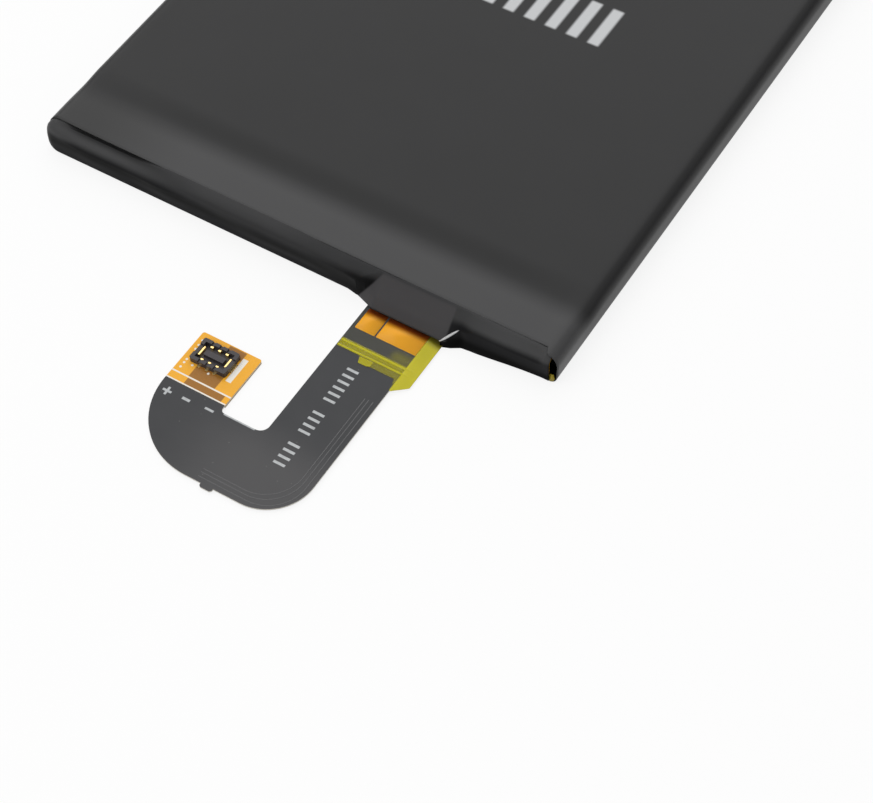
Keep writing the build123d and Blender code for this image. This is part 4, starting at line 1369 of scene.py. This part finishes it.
@dataclass
class Studio:
    """Pale floor, soft lamps and the camera at the photograph's place."""

    # The camera's target and distance are in millimetres, the clip range, floor and lamps in metres
    azimuth: float = 34.61
    elevation: float = 53.86
    roll: float = -3.27
    focal_px: float = 2162.0
    target: Point = (22.15, -53.10, 0.0)
    distance: float = 206.9
    clip: Span = (0.01, 20.0)
    floor_size: float = 4.0
    floor_white: float = 0.85
    dome: float = 0.45
    horizon: float = 0.3
    rise: Span = (0.15, 0.6)
    lamps: tuple[Lamp, ...] = (
        Lamp("key_softbox", (-0.335, 0.4855, 0.8077), 1.3, 0.9, 5.4),
        Lamp("fill_softbox", (-0.36, -0.61, 0.7), 0.6, 0.7, 1.7),
    )

    def camera(self) -> None:
        """Put the camera where the photograph was taken from."""
        turn, rise, tilt = (math.radians(a) for a in (self.azimuth, self.elevation, self.roll))
        level = Vector((math.cos(turn), math.sin(turn), 0.0))
        ahead = Vector((-math.sin(turn) * math.cos(rise), math.cos(turn) * math.cos(rise), -math.sin(rise)))
        upright = level.cross(ahead)
        right = math.cos(tilt) * level + math.sin(tilt) * upright
        up = -math.sin(tilt) * level + math.cos(tilt) * upright
        data = bpy.data.cameras.new("camera")
        data.sensor_width = SENSOR_WIDTH_MM
        data.lens = self.focal_px / PHOTO_WIDTH * SENSOR_WIDTH_MM
        data.clip_start, data.clip_end = self.clip
        made = bpy.data.objects.new("camera", data)
        place_m = (Vector(self.target) - ahead * self.distance) * MM
        axes = Matrix((right, up, -ahead)).transposed().to_4x4()
        made.matrix_world = Matrix.Translation(place_m) @ axes
        bpy.context.scene.collection.objects.link(made)
        bpy.context.scene.camera = made

    def floor(self) -> None:
        """Lay the plain floor that the pack rests on."""
        piece = Piece("floor")
        half = self.floor_size / MM / 2
        corners = ((-half, -half), (half, -half), (half, half), (-half, half))
        piece.faces.append(piece.row(Vector((x, y, 0.0)) for x, y in corners))
        material = PAPER.build()
        self.whiten(Nodes(material.node_tree))
        piece.make(material)

    def seen(self, nodes: Nodes) -> Socket:
        """1 for rays by which the surroundings are seen or mirrored."""
        path = nodes.add("ShaderNodeLightPath")
        rays = ("Is Camera Ray", "Is Glossy Ray", "Is Transmission Ray")
        return nodes.larger([path.outputs[name] for name in rays])

    def whiten(self, nodes: Nodes) -> None:
        """Let the floor look nearly white where it is seen, with its shadow kept."""
        blend = nodes.add("ShaderNodeMixShader")
        nodes.link(nodes.product(self.seen(nodes), self.floor_white), blend.inputs["Fac"])
        nodes.link(nodes.tree.nodes["Principled BSDF"].outputs[0], blend.inputs[1])
        nodes.link(nodes.add("ShaderNodeEmission").outputs[0], blend.inputs[2])
        nodes.link(blend.outputs[0], nodes.tree.nodes["Material Output"].inputs["Surface"])

    def sky(self) -> None:
        """Soft light from all round, white where it is seen or mirrored."""
        world = bpy.data.worlds.new("soft_room")
        world.use_nodes = True
        bpy.context.scene.world = world
        nodes = Nodes(world.node_tree)
        upward = nodes.add("ShaderNodeSeparateXYZ")
        nodes.link(nodes.add("ShaderNodeTexCoord").outputs["Generated"], upward.inputs[0])
        rise = nodes.add("ShaderNodeMapRange", interpolation_type="SMOOTHSTEP")
        rise.inputs["From Min"].default_value, rise.inputs["From Max"].default_value = self.rise
        rise.inputs["To Min"].default_value = self.horizon
        nodes.link(upward.outputs["Z"], rise.inputs["Value"])
        camera_ray = nodes.add("ShaderNodeLightPath").outputs["Is Camera Ray"]
        # The plain numbers of a Mix node are its inputs 2 and 3 and its output 0
        strength = nodes.add("ShaderNodeMix")
        nodes.link(self.seen(nodes), strength.inputs["Factor"])
        strength.inputs[2].default_value = self.dome
        nodes.link(nodes.larger([camera_ray, rise.outputs["Result"]]), strength.inputs[3])
        back = nodes.tree.nodes["Background"]
        back.inputs["Color"].default_value = (1.0, 1.0, 1.0, 1.0)
        nodes.link(strength.outputs[0], back.inputs["Strength"])

    def build(self) -> None:
        """Set up the whole studio."""
        self.camera()
        self.floor()
        self.sky()
        for lamp in self.lamps:
            lamp.hang()
        bpy.context.scene.view_settings.view_transform = "Standard"


# Plain bars and lines in the places of the print: left, right, low and high edge, then softness
FACE_MARKS = tuple(
    Mark(left, left + 1.3, -7.4, -1.6, 0.2)
    for left in (-0.4, 2.2, 4.8, 7.4, 10.0, 12.6)
)
LEG_ROWS = (
    Mark(12.75, 14.05, -58.6, -53.9),
    Mark(12.75, 14.05, -62.9, -60.1),
    Mark(12.75, 14.05, -67.1, -64.3),
)
POLARITY_MARKS = (
    Mark(-1.25, -0.25, -65.55, -65.3),
    Mark(-0.87, -0.62, -65.92, -64.93),
    Mark(1.0, 1.9, -65.5, -65.2),
    Mark(3.6, 4.6, -65.35, -65.1),
)
INNER_RIM = Mark(5.6, 9.2, -65.0, -64.84)
PAD_LINES = (
    Mark(-1.9, 5.1, -64.05, -63.9, 0.02),
    Mark(-1.9, 5.1, -63.12, -62.95, 0.02),
    Mark(3.42, 4.02, -61.6, -58.5),
)
PAD_DOTS = (
    *((-1.35, y) for y in (-58.7, -59.35, -59.9, -61.35, -61.8, -62.4)),
    (-0.45, -61.7),
    (1.5, -61.75),
)
PAD_COPPER = (
    Mark(0.1, 4.5, -63.9, -63.12, 0.04),
    Mark(0.0, 3.1, -62.95, -61.4, 0.05),
    Mark(1.4, 3.4, -58.9, -57.85, 0.05),
)
# Where the clear tape shows, and how strongly; the two narrow zones along the creases are painted highlights
TAPE_ZONES = (
    (Mark(10.0, 17.75, -52.45, -51.35, 0.08), 0.38),
    (Mark(10.0, 17.75, -51.75, -51.5, 0.06), 0.85),
    (Mark(10.0, 17.75, -52.42, -52.2, 0.05), 0.8),
    (Mark(13.0, 17.75, -53.7, -52.45, 0.1), 0.22),
    (Mark(13.0, 14.6, -53.8, -52.5, 0.08), 0.6),
    (Mark(15.6, 17.75, -51.4, -50.2, 0.6), 0.12),
    (Mark(17.7, 20.0, -55.0, -46.0, 0.1), 0.95),
)

# Each finish gives its name, colour, shade of the darker patches, patch size, gloss, grain size and
# grain depth, in that order and in millimetres, and then by name what else it needs
FILM = FilmFinish(
    "satin_black_film",
    (0.0152, 0.0152, 0.0157),
    0.85,
    9.0,
    (0.32, 0.4),
    0.6,
    0.0015,
    specular=0.2,
    marks=FACE_MARKS,
)
TAPE = TapeFinish(
    "satin_black_tape", (0.013, 0.013, 0.014), 0.7, 4.0, (0.28, 0.36), 0.5, 0.002, specular=0.04
)
# Pale finish of the bead on the ridge, a painted highlight
RIDGE_GLINT = Finish("painted_glint_bead", (0.62, 0.62, 0.63), 0.75, 0.5, (0.4, 0.5), 0.1, 0.002)
# The ribs are painted paler than the flat coverlay they are made of, a painted highlight
RIB_HIGHLIGHT = Finish("raised_coverlay_highlight", (0.115, 0.115, 0.118), 0.9, 2.0, (0.45, 0.55), 0.12, 0.001, specular=0.3)
COVERLAY = CoverlayFinish(
    "matt_black_coverlay",
    (0.052, 0.053, 0.056),
    0.85,
    3.0,
    (0.5, 0.6),
    0.12,
    0.0015,
    specular=0.2,
    rows=LEG_ROWS,
    marks=(*POLARITY_MARKS, INNER_RIM),
)
AMBER_PAD = PadFinish(
    "amber_pad_film",
    (0.93, 0.45, 0.035),
    0.88,
    1.5,
    (0.22, 0.32),
    0.3,
    0.001,
    specular=0.2,
    edge_colour=(0.6, 0.34, 0.08),
    deep_areas=PAD_COPPER,
    lines=PAD_LINES,
    dots=PAD_DOTS,
)
BASE_FILM = EdgedFinish(
    "amber_base_film", (0.8, 0.36, 0.04), 0.85, 1.5, (0.25, 0.35), 0.3, 0.001, edge_colour=(0.75, 0.7, 0.62)
)
UNDER_COVERLAY = EdgedFinish(
    "matt_black_under_coverlay", (0.06, 0.061, 0.064), 0.85, 3.0, (0.5, 0.6), 0.12, 0.0015
)
WINDOW = ShadowedRootFinish("amber_window_film", (1.0, 0.44, 0.025), 0.9, 1.2, (0.2, 0.3), 0.3, 0.001, specular=0.2)
COPPER = Finish("rolled_copper", (0.93, 0.36, 0.045), 0.9, 2.0, (0.25, 0.38), 0.15, 0.001, metallic=0.25)
YELLOW = ClearTapeFinish(
    "clear_yellow_tape",
    (0.6, 0.54, 0.015),
    0.85,
    2.0,
    (0.15, 0.25),
    0.5,
    0.002,
    specular=0.2,
    zones=TAPE_ZONES,
)
YELLOW_INNER = Finish(
    "orange_board_tape", (0.45, 0.24, 0.025), 0.85, 2.0, (0.2, 0.3), 0.5, 0.002, specular=0.3
)
FOLDED_TAPE = Finish("folded_board_tape", (0.34, 0.26, 0.02), 0.8, 0.6, (0.3, 0.4), 0.5, 0.001, specular=0.2)
GOLD = Finish("gold_plating", (1.0, 0.72, 0.28), 0.9, 0.8, (0.18, 0.3), 0.06, 0.0008, metallic=1.0)
SOCKET = Finish("dark_moulding", (0.046, 0.04, 0.043), 0.75, 0.8, (0.35, 0.5), 0.08, 0.001, specular=0.35)
STIFFENER = LaminateFinish(
    "stiffener_laminate", (0.5, 0.36, 0.15), 0.75, gloss=(0.4, 0.55), grain_depth_mm=0.003
)
BOARD = LaminateFinish("board_laminate", (0.03, 0.16, 0.07), 0.7, gloss=(0.25, 0.35), grain_depth_mm=0.003)
RESIN = Finish("chip_resin", (0.025, 0.025, 0.026), 0.8, 0.8, (0.5, 0.65), 0.06, 0.002)
CERAMIC = Finish("chip_ceramic", (0.42, 0.33, 0.24), 0.8, 0.5, (0.35, 0.5), 0.05, 0.001)
SOLDER = Finish("solder", (0.75, 0.76, 0.78), 0.85, 0.5, (0.2, 0.35), 0.1, 0.004, metallic=1.0)
BRUSHED = (1, 0.05, 1)
NICKEL = Finish("brushed_nickel", (0.66, 0.63, 0.58), 0.85, 2.0, (0.25, 0.4), 0.1, 0.002, BRUSHED, 1.0)
ALUMINIUM = Finish("rolled_aluminium", (0.82, 0.83, 0.85), 0.9, 2.0, (0.25, 0.35), 0.1, 0.0015, BRUSHED, 1.0)
POUCH = Finish("pouch_laminate", (0.7, 0.71, 0.73), 0.92, 8.0, (0.32, 0.42), 0.3, 0.004, metallic=0.85)
SEAL = Finish("seal_polymer", (0.8, 0.78, 0.7), 0.9, 2.0, (0.35, 0.5), 0.3, 0.002)
FOAM = Finish("adhesive_foam", (0.03, 0.03, 0.03), 0.6, 1.0, (0.8, 0.9), 0.15, 0.03)
PAPER = Finish("floor_paper", (0.93, 0.93, 0.93), 0.985, 40.0, (0.75, 0.85), 1.5, 0.004, specular=0.1)

CARRIED_OVER = {
    "pouch_cell": POUCH,
    "positive_tab": ALUMINIUM,
    "negative_tab": NICKEL,
    "positive_tab_seal": SEAL,
    "negative_tab_seal": SEAL,
    "terrace_foam": FOAM,
    "protection_board": BOARD,
    "protection_chip": RESIN,
    "mosfet_pair": RESIN,
    "chip_resistors": CERAMIC,
    "chip_capacitors": CERAMIC,
    "temperature_sensor": CERAMIC,
    "cutoff_fuse": CERAMIC,
    "positive_weld_plate": NICKEL,
    "negative_weld_plate": NICKEL,
    "board_insulation_tape": YELLOW_INNER,
    "flex_base_film": BASE_FILM,
    "flex_top_coverlay": COVERLAY,
    "flex_bottom_coverlay": UNDER_COVERLAY,
    "pad_coverlay": AMBER_PAD,
    "pad_stiffener": STIFFENER,
    "positive_trace": COPPER,
    "negative_trace": COPPER,
    "signal_traces": COPPER,
    "flex_solder": SOLDER,
    "connector_housing": SOCKET,
    "signal_contacts": GOLD,
    "power_contacts": GOLD,
}


@dataclass
class Workshop:
    """Keeps one material for each finish and dresses the solids with them."""

    made: dict[str, Material] = field(default_factory=dict)

    def material(self, finish: Finish) -> Material:
        """Material of a finish, made once."""
        if finish.name not in self.made:
            self.made[finish.name] = finish.build()
        return self.made[finish.name]

    def dress(self, node: str, finish: Finish) -> None:
        """Give a carried-over solid its finish."""
        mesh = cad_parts[node].data
        mesh.materials.clear()
        mesh.materials.append(self.material(finish))
        log.info("%s: %s", node, finish.name)


def main() -> None:
    """Build the studio and the pack, piece by piece."""
    logging.basicConfig(level=logging.INFO, format="%(name)s %(message)s")
    Studio().build()
    workshop = Workshop()
    for node, finish in CARRIED_OVER.items():
        workshop.dress(node, finish)
    Sleeve().build(workshop.material(FILM))
    header = HeaderTape()
    header.build(workshop.material(TAPE))
    header.glint_bead(workshop.material(RIDGE_GLINT))
    WindowFilms().build(workshop.material(WINDOW))
    RootTape().build(workshop.material(YELLOW))
    ContourRibs().build(workshop.material(RIB_HIGHLIGHT))
    TapeCorner().build(workshop.material(FOLDED_TAPE))


if __name__ == "__main__":
    main()
